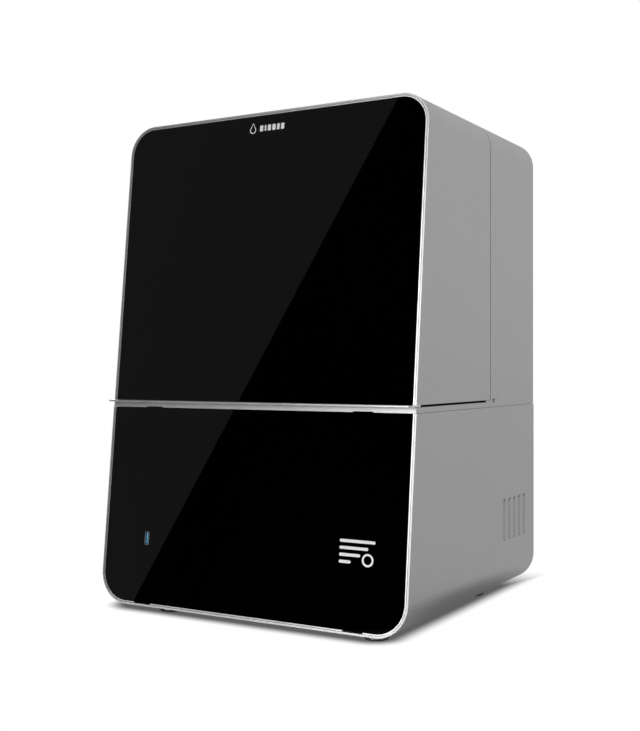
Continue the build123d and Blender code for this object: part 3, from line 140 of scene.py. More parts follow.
def agreement(tree, direction, way):
    """How well a direction agrees with a fixed way: 1 along it, 0 across it."""
    made = node(tree, "ShaderNodeVectorMath", operation="DOT_PRODUCT")
    join(tree, direction, made.inputs[0])
    made.inputs[1].default_value = way
    return made.outputs["Value"]


def split_axes(tree, vector):
    """The x, y and z of a vector, as a node with those three outputs."""
    made = node(tree, "ShaderNodeSeparateXYZ")
    join(tree, vector, made.inputs[0])
    return made


def length_of(tree, vector):
    """The length of a vector."""
    made = node(tree, "ShaderNodeVectorMath", operation="LENGTH")
    join(tree, vector, made.inputs[0])
    return made.outputs["Value"]


def white_to_camera(tree, level):
    """Full strength for what the camera sees itself, and `level` for what lights or is mirrored."""
    ray = node(tree, "ShaderNodeLightPath")
    made = node(tree, "ShaderNodeMix", data_type="FLOAT")
    join(tree, ray.outputs["Is Camera Ray"], made.inputs[0])
    join(tree, level, made.inputs[2])
    made.inputs[3].default_value = 1.0
    return made.outputs[0]


print("node helpers ready")

# %% [markdown]
# ## The studio
#
# Blasted aluminium is a blurred mirror: it shows the room more than it shows its own colour. So the
# room comes first. Here the sky is the room: grey in front, a little brighter overhead, palest behind,
# and black in the one direction that the dark glass mirrors. The camera itself sees plain white.

# %% Sky
MIRRORED = Vector((-0.533, -0.820, 0.208)).normalized()
sky = bpy.data.worlds.new("studio_sky")
bpy.context.scene.world = sky
sky.use_nodes = True
tree = sky.node_tree
tree.nodes.clear()
way = node(tree, "ShaderNodeTexCoord").outputs["Generated"]
axes = split_axes(tree, way)
overhead = graded(tree, axes.outputs["Z"], -0.1, 0.75, 0.58, 0.65)
behind = graded(tree, axes.outputs["Y"], 0.05, 0.85, 0.24, 1.0)
unmirrored = graded(tree, agreement(tree, way, MIRRORED), 0.70, 0.93, 1.0, 0.0)
room = calc(tree, "MULTIPLY", calc(tree, "MULTIPLY", overhead, behind), unmirrored)
background = node(tree, "ShaderNodeBackground", Color=(1, 1, 1, 1))
join(tree, white_to_camera(tree, room), background.inputs["Strength"])
out = node(tree, "ShaderNodeOutputWorld")
join(tree, background.outputs[0], out.inputs["Surface"])
print("sky has", len(tree.nodes), "nodes")

# %% [markdown]
# Three soft boxes add what the sky can't. A tall one in front, a little to the left, lights the rims,
# the lip and the deck strip: from the camera, the black panes mirror past it. Another, behind on the
# left, draws an edge on the far side. Both are large, so no highlight has a hard edge. The third is
# a low strip that lights the feet under the case.


# %% Soft boxes
def soft_box(name, spot, size, watts, aim):
    """An area light of that width and height at `spot`, facing the point `aim`."""
    lamp = bpy.data.lights.new(name, "AREA")
    lamp.shape = "RECTANGLE"
    lamp.size, lamp.size_y = size
    lamp.energy = watts
    box = bpy.data.objects.new(name, lamp)
    bpy.context.scene.collection.objects.link(box)
    box.location = spot
    box.rotation_euler = (Vector(aim) - Vector(spot)).to_track_quat("-Z", "Y").to_euler()
    box.visible_camera = False
    return box


FRONT_FEET = (-0.1, -0.15, 0.01)
boxes = [soft_box("front_box", (-0.34, -3.0, 0.65), (1.0, 1.9), 48, middle),
         soft_box("foot_strip", (0.37, -2.2, 0.06), (0.4, 0.08), 0.6, FRONT_FEET),
         soft_box("rear_box", (-2.2, 2.0, 1.6), (1.4, 1.4), 30, middle)]
print("soft boxes:", [box.name for box in boxes])

# %% [markdown]
# The black glass would look like a hole if it mirrored nothing. A dim card stands far in front of
# it, cut off along a slanted line, so a faint wedge of light crosses both panes.
# The card's edge is found by following the sight line to the glass and on from there. The first
# step is to find how far the glass leans back.


# %% Glass plane
def front_face(pane):
    """A point on the outer face of a raked pane, and how far it leans back per metre of height."""
    a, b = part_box(pane)
    lean = (b.y - PANE_DEPTH - a.y) / (b.z - a.z)
    return a, lean


def mirrored_ray(x, z):
    """The glass point at (x, z), and the way the sight line to it bounces off."""
    hit = Vector((x, pane_low.y + (z - pane_low.z) * LEAN, z))
    ray = (hit - camera.location).normalized()
    return hit, ray - 2 * ray.dot(glass_normal) * glass_normal


PANE_DEPTH = 2.9 * MM
pane_low, LEAN = front_face("cover_glass")
glass_normal = Vector((0, -1, LEAN)).normalized()
print("front leans back", round(LEAN, 4), "m for each metre of height")

# %% [markdown]
# The wedge's edge runs from the lower left of the glass to its upper right. The lowest part of the
# glass mirrors the table, not the room beyond, so a second card lies there and carries the same
# wedge on. The cards show in reflections only.


# %% Reflecting cards
def on_card(x, z):
    """Where the sight line to the glass at (x, z) lands on the plane of the standing card."""
    hit, bounce = mirrored_ray(x, z)
    return hit + bounce * ((hit.y + CARD_REACH) / -bounce.y)


def on_table(x, z):
    """The same for the lowest part of the glass, which mirrors the table."""
    hit, bounce = mirrored_ray(x, z)
    return hit + bounce * ((hit.z - low.z - MM) / -bounce.z)


def flat_card(name, corners):
    """A one-faced card through those corners."""
    made = bpy.data.objects.new(name, bpy.data.meshes.new(name))
    made.data.from_pydata([tuple(corner) for corner in corners], [], [range(len(corners))])
    bpy.context.scene.collection.objects.link(made)
    return made


CARD_REACH = 3.0
BEYOND, ASIDE = 2.0, Vector((-2.5, 0, 0))
WEDGE_TOP, WEDGE_FOOT = (0.148, 0.552), (-0.146, 0.028)
wedge_slope = (WEDGE_TOP[0] - WEDGE_FOOT[0]) / (WEDGE_TOP[1] - WEDGE_FOOT[1])
edge_top, edge_low = on_card(*WEDGE_TOP), on_card(*WEDGE_FOOT)
along = (edge_top - edge_low).normalized()
corners = [edge_low - along * BEYOND, edge_top + along * BEYOND]
corners += [corner + ASIDE for corner in reversed(corners)]
standing_card = flat_card("reflecting_card", corners)

PAST_THE_CASE = -0.24
LEVELS = (0.018, 0.026, 0.034, 0.042, 0.050, 0.057, 0.063)
corners = [on_table(WEDGE_FOOT[0] + (level - WEDGE_FOOT[1]) * wedge_slope, level) for level in LEVELS]
corners += [on_table(PAST_THE_CASE, level) for level in reversed(LEVELS)]
lying_card = flat_card("reflecting_table_card", corners)
glow = bpy.data.materials.new("dim_card")
glow.use_nodes = True
glow.node_tree.nodes.clear()
lamp = node(glow.node_tree, "ShaderNodeEmission", Strength=0.15)
out = node(glow.node_tree, "ShaderNodeOutputMaterial")
join(glow.node_tree, lamp.outputs[0], out.inputs["Surface"])
for card in (standing_card, lying_card):
    card.visible_camera = False
    card.visible_diffuse = False
    card.visible_shadow = False
    card.data.materials.append(glow)
print("card edge runs from", [round(v, 2) for v in edge_low], "to", [round(v, 2) for v in edge_top])

# %% [markdown]
# ## The floor
#
# The table glows plain white to the camera, and only the tight shadow under the
# machine shows. That shadow is a painted shadow, drawn from the machine's outline: it is dark under the case,
# fades to white over a thumb's width at the front and sides, and more slowly behind, away from the front
# light.

# %% Floor
bpy.ops.object.select_all(action="DESELECT")
bpy.ops.mesh.primitive_plane_add(size=40, location=(0, 0, low.z))
floor = bpy.context.object
floor.name = "floor"
paper = bpy.data.materials.new("white_table")
paper.use_nodes = True
floor.data.materials.append(paper)
tree = paper.node_tree
tree.nodes.clear()
spot = node(tree, "ShaderNodeTexCoord").outputs["Object"]
axes = split_axes(tree, spot)


def past_edge(axis, centre, half):
    """How far the floor point lies beyond a band of that half-width, or nothing inside it."""
    off = calc(tree, "ABSOLUTE", calc(tree, "SUBTRACT", axes.outputs[axis], centre))
    return calc(tree, "SUBTRACT", off, half, clamp=True)


outside = node(tree, "ShaderNodeCombineXYZ")
join(tree, past_edge("X", -0.029, 0.159), outside.inputs[0])
join(tree, past_edge("Y", 0.0875, 0.2125), outside.inputs[1])
# Painted shadow: dark under the case, graded to white a little past the machine's outline.
outline = graded(tree, length_of(tree, outside.outputs[0]), 0.0215, 0.0475, 0.115, 1.0)
# The painted shadow fades out slowly behind the machine.
painted_shadow_rear_fade = graded(tree, axes.outputs["Y"], 0.17, 0.33, 0.0, 1.0)
painted_shadow = calc(tree, "MAXIMUM", outline, painted_shadow_rear_fade)
print("floor at z =", round(low.z, 4))

# %% [markdown]
# What the machine mirrors is a dimmer table, with painted shade close by, and a black cloth where the panes
# look. One strip of it, just in front of the case, carries a painted band of light: it is what the rims mirror
# along the bottom of the machine.

# %% Mirrored table
flat = node(tree, "ShaderNodeVectorMath", operation="NORMALIZE")
join(tree, spot, flat.inputs[0])
level_way = Vector((MIRRORED.x, MIRRORED.y, 0)).normalized()
cloth = graded(tree, agreement(tree, flat.outputs[0], level_way), 0.70, 0.90, 0.50, 0.0)
# Painted shade: the mirrored table is darker close to the machine.
painted_shade_close_by = graded(tree, length_of(tree, spot), 0.20, 0.34, 0.35, 1.0)
# Painted light: a bright band of the table just in front of the case, seen only in reflections and lighting.
painted_light_strip = calc(tree, "MULTIPLY", graded(tree, axes.outputs["Y"], -0.30, -0.23, 0.0, 1.7),
             graded(tree, axes.outputs["Y"], -0.21, -0.17, 1.0, 0.0))
painted_light_strip = calc(tree, "MULTIPLY", painted_light_strip, graded(tree, axes.outputs["X"], 0.16, 0.22, 1.0, 0.0))
table = calc(tree, "ADD", calc(tree, "MULTIPLY", cloth, painted_shade_close_by), painted_light_strip)
bright = node(tree, "ShaderNodeEmission")
join(tree, painted_shadow, bright.inputs["Color"])
join(tree, white_to_camera(tree, table), bright.inputs["Strength"])
out = node(tree, "ShaderNodeOutputMaterial")
join(tree, bright.outputs[0], out.inputs["Surface"])
print("table has", len(tree.nodes), "nodes")

# %% [markdown]
# ## Shared effects
#
# Real finishes are never one flat value. Four small effects serve every material: the fine
# grain of a blasted or moulded surface, the long lines of a brushed or ground one, the rings of a
# turned one, and the slow drift that handling leaves. Each is built once as a node group and
# placed where it is needed with its own values.


# %% Groups
def effect(name, inputs, outputs):
    """An empty shader node group with named number sockets."""
    group = bpy.data.node_groups.new(name, "ShaderNodeTree")
    for label, value in inputs.items():
        socket = group.interface.new_socket(label, in_out="INPUT", socket_type="NodeSocketFloat")
        socket.default_value = value
    for label in outputs:
        group.interface.new_socket(label, in_out="OUTPUT", socket_type="NodeSocketFloat")
    return group, group.nodes.new("NodeGroupInput"), group.nodes.new("NodeGroupOutput")


def noise(tree, vector, scale, detail, roughness=0.55):
    """Noise over a vector, at a fixed or wired scale. Gives the noise's value socket."""
    made = node(tree, "ShaderNodeTexNoise", Detail=detail, Roughness=roughness)
    join(tree, vector, made.inputs["Vector"])
    if isinstance(scale, (int, float)):
        made.inputs["Scale"].default_value = scale
    else:
        join(tree, scale, made.inputs["Scale"])
    return made.outputs[0]


def spread(tree, value, amount):
    """Stretches a value about one half by a wired amount, and keeps it from 0 to 1."""
    grown = calc(tree, "MULTIPLY", calc(tree, "SUBTRACT", value, 0.5), amount)
    return calc(tree, "ADD", grown, 0.5, clamp=True)


def on_object(tree):
    """The place on the machine, which every effect reads."""
    return node(tree, "ShaderNodeTexCoord").outputs["Object"]


grain, gin, gout = effect("grain", {"Scale": 700.0, "Strength": 1.0}, ["Mask"])
specks = noise(grain, on_object(grain), gin.outputs["Scale"], 3.0, 0.7)
join(grain, spread(grain, specks, gin.outputs["Strength"]), gout.inputs["Mask"])

brushed, gin, gout = effect("brushed", {"X": 1.0, "Y": 1.0, "Z": 1.0, "Strength": 1.0}, ["Mask"])
stretch = node(brushed, "ShaderNodeCombineXYZ")
for axis in "XYZ":
    join(brushed, gin.outputs[axis], stretch.inputs[axis])
scaled = node(brushed, "ShaderNodeVectorMath", operation="MULTIPLY")
join(brushed, on_object(brushed), scaled.inputs[0])
join(brushed, stretch.outputs[0], scaled.inputs[1])
lines = noise(brushed, scaled.outputs[0], 1.0, 4.0, 0.65)
join(brushed, spread(brushed, lines, gin.outputs["Strength"]), gout.inputs["Mask"])

drift, gin, gout = effect("handling_drift", {"Scale": 9.0, "Strength": 1.0}, ["Mask"])
clouds = noise(drift, on_object(drift), gin.outputs["Scale"], 5.0)
join(drift, spread(drift, clouds, gin.outputs["Strength"]), gout.inputs["Mask"])

rings, gin, gout = effect("turned_rings", {"Pitch": 2500.0, "Strength": 1.0}, ["Mask"])
height = split_axes(rings, on_object(rings)).outputs["Z"]
cut = node(rings, "ShaderNodeCombineXYZ")
join(rings, calc(rings, "MULTIPLY", height, gin.outputs["Pitch"]), cut.inputs["Z"])
furrows = noise(rings, cut.outputs[0], 1.0, 3.0)
join(rings, spread(rings, furrows, gin.outputs["Strength"]), gout.inputs["Mask"])
print("effects:", [g.name for g in bpy.data.node_groups])

# %% [markdown]
# ## Finishes
#
# One recipe builds every opaque finish. The base colour runs between a darker and a lighter tone,
# and the roughness between a smoother and a rougher value, both steered by an effect's mask, and the
# same mask presses a shallow relief into the surface. What differs from finish to
# finish is the effect, its size and these few numbers.


# %% The recipe
def use_effect(tree, group, **values):
    """Places a shared effect with its own values, and gives its mask."""
    placed = tree.nodes.new("ShaderNodeGroup")
    placed.node_tree = group
    for key, value in values.items():
        placed.inputs[key].default_value = value
    return placed.outputs["Mask"]


def between(tree, mask, start, end):
    """A number that runs from `start` to `end` with a mask."""
    made = node(tree, "ShaderNodeMapRange")
    made.inputs["To Min"].default_value = start
    made.inputs["To Max"].default_value = end
    join(tree, mask, made.inputs["Value"])
    return made.outputs[0]


def tint(tree, mask, dark, light):
    """A colour that runs from `dark` to `light` with a mask."""
    made = node(tree, "ShaderNodeMix", data_type="RGBA")
    made.inputs[6].default_value = (*dark, 1)
    made.inputs[7].default_value = (*light, 1)
    join(tree, mask, made.inputs[0])
    return made.outputs[2]


def relief(tree, mask, depth):
    """A shallow relief of that depth in metres."""
    made = node(tree, "ShaderNodeBump", Strength=1.0, Distance=depth)
    join(tree, mask, made.inputs["Height"])
    return made.outputs[0]


def finish(name, dark, light, rough, metal, group, depth, drift_share=0.25, **values):
    """An opaque finish from one effect for its texture and the handling drift for its sheen."""
    made = bpy.data.materials.new(name)
    made.use_nodes = True
    tree = made.node_tree
    body = tree.nodes["Principled BSDF"]
    texture = use_effect(tree, group, **values)
    handled = use_effect(tree, drift, Scale=11.0, Strength=1.6)
    join(tree, tint(tree, texture, dark, light), body.inputs["Base Color"])
    both = node(tree, "ShaderNodeMix", data_type="FLOAT")
    both.inputs[0].default_value = drift_share
    join(tree, texture, both.inputs[2])
    join(tree, handled, both.inputs[3])
    join(tree, between(tree, both.outputs[0], *rough), body.inputs["Roughness"])
    join(tree, relief(tree, texture, depth), body.inputs["Normal"])
    body.inputs["Metallic"].default_value = metal
    return made


print("recipe ready")

# %% [markdown]
# ### Metals
#
# The case is blasted with fine beads and then anodised clear, which leaves an even, silky grey with
# a grain finer than a millimetre. The front rims and the lip are milled after blasting, so they
# are brighter and smoother. Steel parts are ground along their length, and the rear panels are steel
# under a black powder coat.

# %% Metals
case_aluminium = finish("case_aluminium", (0.53, 0.53, 0.53), (0.65, 0.65, 0.652), (0.34, 0.46), 1.0,
                        grain, 0.02 * MM, Scale=520.0, Strength=2.4)
bright_aluminium = finish("bright_aluminium", (0.83, 0.83, 0.83), (0.93, 0.93, 0.93), (0.26, 0.40), 1.0,
                          brushed, 0.004 * MM, X=40.0, Y=900.0, Z=900.0, Strength=1.3)
plate_metal = finish("plate_metal", (0.52, 0.52, 0.53), (0.66, 0.66, 0.66), (0.38, 0.58), 1.0,
                     grain, 0.03 * MM, Scale=900.0, Strength=1.8)
vat_metal = finish("vat_metal", (0.47, 0.48, 0.49), (0.56, 0.57, 0.58), (0.30, 0.44), 1.0,
                   grain, 0.012 * MM, Scale=1100.0, Strength=1.4)
black_anodised = finish("black_anodised", (0.022, 0.022, 0.024), (0.045, 0.045, 0.048), (0.36, 0.52),
                        0.9, brushed, 0.008 * MM, X=700.0, Y=700.0, Z=25.0, Strength=1.5)
ground_steel = finish("ground_steel", (0.56, 0.57, 0.58), (0.68, 0.69, 0.70), (0.22, 0.32), 1.0,
                      brushed, 0.003 * MM, X=1500.0, Y=1500.0, Z=60.0, Strength=1.1)
turned_steel = finish("turned_steel", (0.58, 0.58, 0.59), (0.78, 0.78, 0.79), (0.16, 0.32), 1.0,
                      rings, 0.006 * MM, Pitch=2600.0, Strength=1.6)
zinc_sheet = finish("zinc_sheet", (0.48, 0.49, 0.51), (0.62, 0.63, 0.64), (0.28, 0.50), 1.0,
                    grain, 0.006 * MM, Scale=160.0, Strength=1.8)
socket_metal = finish("socket_metal", (0.60, 0.60, 0.62), (0.66, 0.66, 0.67), (0.30, 0.38), 1.0,
                      grain, 0.001 * MM, Scale=1400.0, Strength=0.6)
rear_steel = finish("rear_steel", (0.035, 0.035, 0.037), (0.062, 0.062, 0.064), (0.48, 0.66), 0.0,
                    grain, 0.06 * MM, Scale=1300.0, Strength=2.0)
print("metals:", len(bpy.data.materials))

# %% [markdown]
# ### Plastics, rubber and circuit board
#
# Moulded parts have a fine spark-eroded texture, and a knob is polished smoother than a housing. The
# circuit board is the green of its solder mask, which varies in short runs over the copper below.

# %% Plastics
black_plastic = finish("black_plastic", (0.018, 0.018, 0.019), (0.032, 0.032, 0.033), (0.42, 0.62), 0.0,
                       grain, 0.03 * MM, Scale=1700.0, Strength=1.6)
knob_black = finish("knob_black", (0.014, 0.014, 0.015), (0.026, 0.026, 0.027), (0.22, 0.36), 0.0,
                    grain, 0.01 * MM, Scale=1500.0, Strength=1.4)
rubber = finish("rubber", (0.016, 0.016, 0.016), (0.034, 0.034, 0.034), (0.70, 0.88), 0.0,
                grain, 0.05 * MM, Scale=1000.0, Strength=1.8)
blue_plastic = finish("blue_plastic", (0.10, 0.36, 0.60), (0.14, 0.42, 0.66), (0.30, 0.44), 0.0,
                      grain, 0.005 * MM, Scale=1600.0, Strength=1.2)
circuit_board = finish("circuit_board", (0.010, 0.085, 0.040), (0.020, 0.150, 0.070), (0.30, 0.45), 0.0,
                       brushed, 0.02 * MM, X=420.0, Y=420.0, Z=5.0, Strength=3.0)
print("plastics and board done")

# %% [markdown]
# ### Glass, screen and print
#
# The front panes are clear glass painted black from behind, so there is a deep black under a hard clear
# surface. The screen is polarised glass over dark liquid crystal: nearly black, with a
# blue cast and a faint grain. Lenses, the glass over the screen and the release film let light
# through. The printed marks are a flat white ink.


# %% Glass
def clear(name, colour, rough, ior, through):
    """A see-through material whose surface carries a trace of handling."""
    made = bpy.data.materials.new(name)
    made.use_nodes = True
    tree = made.node_tree
    body = tree.nodes["Principled BSDF"]
    handled = use_effect(tree, drift, Scale=14.0, Strength=1.6)
    join(tree, tint(tree, handled, colour, [min(1, c * 1.04) for c in colour]), body.inputs["Base Color"])
    join(tree, between(tree, handled, rough, rough + 0.05), body.inputs["Roughness"])
    body.inputs["IOR"].default_value = ior
    body.inputs["Transmission Weight"].default_value = through
    return made


black_panel = finish("black_panel", (0.0, 0.0, 0.0), (0.0004, 0.0004, 0.0004), (0.0, 0.02), 0.0,
                     drift, 0.0, drift_share=1.0, Scale=6.0, Strength=1.0)
screen = finish("screen", (0.006, 0.007, 0.011), (0.011, 0.012, 0.017), (0.12, 0.20), 0.0,
                grain, 0.002 * MM, Scale=2400.0, Strength=2.0)
clear_lens = clear("clear_lens", (0.94, 0.96, 0.97), 0.02, 1.49, 1.0)
cover_layer = clear("cover_layer", (0.90, 0.92, 0.95), 0.03, 1.50, 0.9)
release_film = clear("release_film", (0.90, 0.93, 0.96), 0.06, 1.34, 0.92)
mark_white = finish("mark_white", (0.86, 0.86, 0.86), (0.94, 0.94, 0.94), (0.35, 0.5), 0.0,
                    grain, 0.002 * MM, Scale=1500.0, Strength=1.0)
print("materials in all:", len(bpy.data.materials))

# %% [markdown]
# ## Dressing the drawn parts
#
# Each part that was drawn to size names its finish in the record's list. That list is read here, so a part
# and its finish can't fall out of step. Three parts go their own way: the feet and the shaft coupling
# were turned on a lathe and get turning marks, and the glass over the screen is clear.

# %% Assign
finishes = {
    "case_aluminium": case_aluminium, "bright_aluminium": bright_aluminium, "plate_metal": plate_metal,
    "vat_metal": vat_metal, "black_anodised": black_anodised, "ground_steel": ground_steel,
    "zinc_sheet": zinc_sheet, "socket_metal": socket_metal, "rear_steel": rear_steel,
    "black_plastic": black_plastic, "knob_black": knob_black, "rubber": rubber,
    "blue_plastic": blue_plastic, "circuit_board": circuit_board, "black_panel": black_panel,
    "screen": screen, "clear_lens": clear_lens, "release_film": release_film,
}
own_finish = {"feet": turned_steel, "shaft_coupling": turned_steel, "screen_glass": cover_layer}
for part in frame["record"]["subparts"]:
    drawn = frame["nodes"][part["node"]]
    look = own_finish.get(part["node"], finishes[part["material_slot"]])
    if not drawn.data.materials:
        drawn.data.materials.append(look)
    for holder in drawn.material_slots:
        holder.material = look

# %% [markdown]
# ## Modelling by hand
#
# The drawn parts leave out what only the eye needs: the thread of the screw, the round wires of the
# fan guard, the heads of the small screws, the printed marks. Each of these is modelled here the
# way it is done by hand: start from a simple shape, shape it in edit mode, finish it with modifiers.
# A few small helpers keep the steps short.


# %% Helpers for modelling
def clean_start():
    """Object mode with nothing selected."""
    if bpy.context.mode != "OBJECT":
        bpy.ops.object.mode_set(mode="OBJECT")
    bpy.ops.object.select_all(action="DESELECT")


def choose(piece, test, kind="FACE"):
    """Edit mode, with just the faces, edges or points selected that pass the test."""
    bpy.ops.object.mode_set(mode="EDIT")
    bpy.ops.mesh.select_mode(type=kind)
    bpy.ops.mesh.select_all(action="DESELECT")
    bpy.ops.object.mode_set(mode="OBJECT")
    group = {"FACE": piece.data.polygons, "EDGE": piece.data.edges, "VERT": piece.data.vertices}[kind]
    for part in group:
        part.select = bool(test(part))
    bpy.ops.object.mode_set(mode="EDIT")


def apply(piece, kind, **values):
    """Adds a modifier with those values and applies it."""
    bpy.ops.object.mode_set(mode="OBJECT")
    made = piece.modifiers.new(kind.lower(), kind)
    for key, value in values.items():
        setattr(made, key, value)
    bpy.ops.object.modifier_apply(modifier=made.name)


def place_in_mesh(piece):
    """Moves a piece's place, turn and size from its object into its mesh."""
    clean_start()
    piece.select_set(True)
    bpy.context.view_layer.objects.active = piece
    bpy.ops.object.transform_apply(location=True, rotation=True, scale=True)


def settle(piece, look, smooth=40):
    """Gives a finished piece its material and smooth faces, with its place in its own mesh."""
    place_in_mesh(piece)
    bpy.ops.object.shade_smooth_by_angle(angle=radians(smooth))
    piece.data.materials.clear()
    piece.data.materials.append(look)
    return piece


def gather(name, pieces):
    """Joins pieces into one."""
    clean_start()
    for piece in pieces:
        piece.select_set(True)
    bpy.context.view_layer.objects.active = pieces[0]
    if len(pieces) > 1:
        bpy.ops.object.join()
    pieces[0].name = name
    return pieces[0]


def copy_to(piece, places):
    """Copies of a piece, each with its own mesh, carried to each of those places."""
    made = []
    for place in places:
        twin = piece.copy()
        twin.data = piece.data.copy()
        bpy.context.scene.collection.objects.link(twin)
        twin.matrix_world = place @ piece.matrix_world
        made.append(twin)
    return made


print("modelling helpers ready")

# %% [markdown]
# ### The ball screw
#
# The carriage hangs on a rolled screw of 12 mm with a lead of 5 mm. Its groove could be a bump in the
# material, but on a shaft this bright the outline shows it, so it is real. One groove's
# cross-section, exactly one lead tall, is turned about the screw's axis and climbs one lead each turn,
# so each turn meets the next. The thread is right-handed.

# %% Screw thread
LEAD = 5 * MM
END_GAP = 0.5 * MM
JOURNAL_RADIUS = 4 * MM
WELD = 0.01 * MM
screw_low, screw_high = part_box("ball_screw")
screw_x, screw_y = (screw_low.x + screw_high.x) / 2, (screw_low.y + screw_high.y) / 2
radius = (screw_high.x - screw_low.x) / 2
thread_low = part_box("lower_bearing")[1].z + END_GAP
thread_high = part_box("upper_bearing")[0].z - END_GAP
turns = round((thread_high - thread_low) / LEAD) + 2
clean_start()
bpy.ops.mesh.primitive_plane_add(size=MM, location=(screw_x, screw_y, 0))
screw = bpy.context.object
bpy.ops.object.mode_set(mode="EDIT")
bpy.ops.mesh.merge(type="CENTER")
bpy.ops.transform.translate(value=(radius, 0, thread_low - LEAD))
into_groove = [(0, 1.1), (-0.25, 0.25), (-0.55, 0.45), (-0.2, 0.7)]
out_of_groove = [(-across, climb) for across, climb in reversed(into_groove)]
for across, climb in into_groove + out_of_groove:
    bpy.ops.mesh.extrude_region_move(TRANSFORM_OT_translate={"value": (across * MM, 0, climb * MM)})
apply(screw, "SCREW", axis="Z", angle=2 * pi, screw_offset=LEAD, iterations=turns, steps=20,
      render_steps=20, use_merge_vertices=True, merge_threshold=WELD, use_normal_calculate=True)
for height, side in ((thread_low, {"clear_inner": True}), (thread_high, {"clear_outer": True})):
    choose(screw, lambda part: True)
    bpy.ops.mesh.bisect(plane_co=(screw_x, screw_y, height), plane_no=(0, 0, 1), use_fill=True, **side)
bpy.ops.object.mode_set(mode="OBJECT")
journals = []
for bottom, top in ((screw_low.z, thread_low + MM), (thread_high - MM, screw_high.z)):
    clean_start()
    bpy.ops.mesh.primitive_cylinder_add(vertices=32, radius=JOURNAL_RADIUS, depth=top - bottom,
                                        location=(screw_x, screw_y, (bottom + top) / 2))
    journal = bpy.context.object
    apply(journal, "BEVEL", width=0.4 * MM, segments=2, limit_method="ANGLE")
    journals.append(journal)
screw = gather("screw_thread", [screw, *journals])
settle(screw, ground_steel)
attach(screw, "z_screw")
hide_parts("ball_screw")
print("thread:", turns, "turns,", len(screw.data.polygons), "faces")

# %% [markdown]
# ### The fan guard
#
# The guard is bent from round wire: rings on the outside, and two crossed wires behind them that end in
# eyes for the screws. It could be a grille drawn flat, but light on a round wire gives it away, so each
# wire starts as its own round section. A ring is that section spun once round the fan's axis. A
# crossed wire is the section extruded along its length and spun round an eye at each end.


# %% Guard
def wire_section(spot, thick):
    """The round section of a wire, lying level at a spot, in edit mode and selected."""
    clean_start()
    bpy.ops.mesh.primitive_circle_add(vertices=10, radius=thick, location=spot)
    made = bpy.context.object
    bpy.ops.object.mode_set(mode="EDIT")
    bpy.ops.mesh.select_all(action="SELECT")
    return made


def tidy_wire():
    """Closes the seam of a spun wire and turns its faces outwards."""
    bpy.ops.mesh.select_all(action="SELECT")
    bpy.ops.mesh.remove_doubles(threshold=WELD)
    bpy.ops.mesh.normals_make_consistent(inside=False)
    bpy.ops.object.mode_set(mode="OBJECT")


guard_low, guard_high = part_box("fan_guard")
guard_mid = (guard_low + guard_high) / 2
outer = (guard_high.x - guard_low.x) / 2
RING_WIRE, CROSS_WIRE, EYE = 0.75 * MM, 0.7 * MM, 2.6 * MM
RING_INSET, RING_STEP, RINGS = 0.9 * MM, 9 * MM, 4
CROSSED = (pi / 4, -pi / 4)
front_y, back_y = guard_high.y - RING_WIRE, guard_low.y + CROSS_WIRE
wires = []
for i in range(RINGS):
    ring = outer - RING_INSET - i * RING_STEP
    wires.append(wire_section((guard_mid.x + ring, front_y, guard_mid.z), RING_WIRE))
    bpy.ops.mesh.spin(steps=64, angle=2 * pi, center=(guard_mid.x, front_y, guard_mid.z), axis=(0, 1, 0))
    tidy_wire()
middle_of_guard = Vector((guard_mid.x, back_y, guard_mid.z))
about = Matrix.Translation(middle_of_guard)
reach = 0.9 * outer
for turn in CROSSED:
    wire = wire_section(middle_of_guard - Vector((0, 0, outer)), CROSS_WIRE)
    bpy.ops.mesh.extrude_region_move(TRANSFORM_OT_translate={"value": (0, 0, 2 * outer)})
    for end in (1, -1):
        choose(wire, lambda corner: (corner.co.z + wire.location.z - guard_mid.z) * end > reach, "VERT")
        bpy.ops.mesh.spin(steps=18, angle=end * radians(320), axis=(0, 1, 0),
                          center=middle_of_guard + Vector((EYE, 0, end * outer)))
        bpy.ops.mesh.edge_face_add()
    tidy_wire()
    wire.matrix_world = about @ Matrix.Rotation(turn, 4, "Y") @ about.inverted() @ wire.matrix_world
    wires.append(wire)
guard = settle(gather("fan_guard_wires", wires), turned_steel)
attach(guard, "base")
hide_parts("fan_guard")
print("guard:", len(wires), "wires")

# %% [markdown]
# ### Socket screws
#
# A socket-head screw is modelled with care, once for each size: a cylinder whose top edge is rounded
# and whose hexagon is cut with a boolean. All the others of its size are copies of it: sixteen on the
# carriage plate, twenty-four in the rails, four in the fan guard's eyes.


# %% One screw, many copies
def socket_screw(head_radius, head_height):
    """A socket-head screw that stands on the ground at the origin."""
    clean_start()
    bpy.ops.mesh.primitive_cylinder_add(vertices=6, radius=head_radius * 0.5, depth=head_height,
                                        location=(0, 0, head_height))
    cutter = bpy.context.object
    clean_start()
    bpy.ops.mesh.primitive_cylinder_add(vertices=28, radius=head_radius, depth=head_height,
                                        location=(0, 0, head_height / 2))
    head = bpy.context.object
    apply(head, "BOOLEAN", object=cutter, operation="DIFFERENCE", solver="EXACT")
    apply(head, "BEVEL", width=0.12 * head_height, segments=2, limit_method="ANGLE")
    bpy.data.objects.remove(cutter)
    place_in_mesh(head)
    return head


def screws(name, head, places, body):
    """Copies of a screw head at each place, as one piece that rides on a body."""
    piece = settle(gather(name, copy_to(head, places)), ground_steel, 30)
    bpy.data.objects.remove(head)
    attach(piece, body)
    print(name, "-", len(places), "screws")


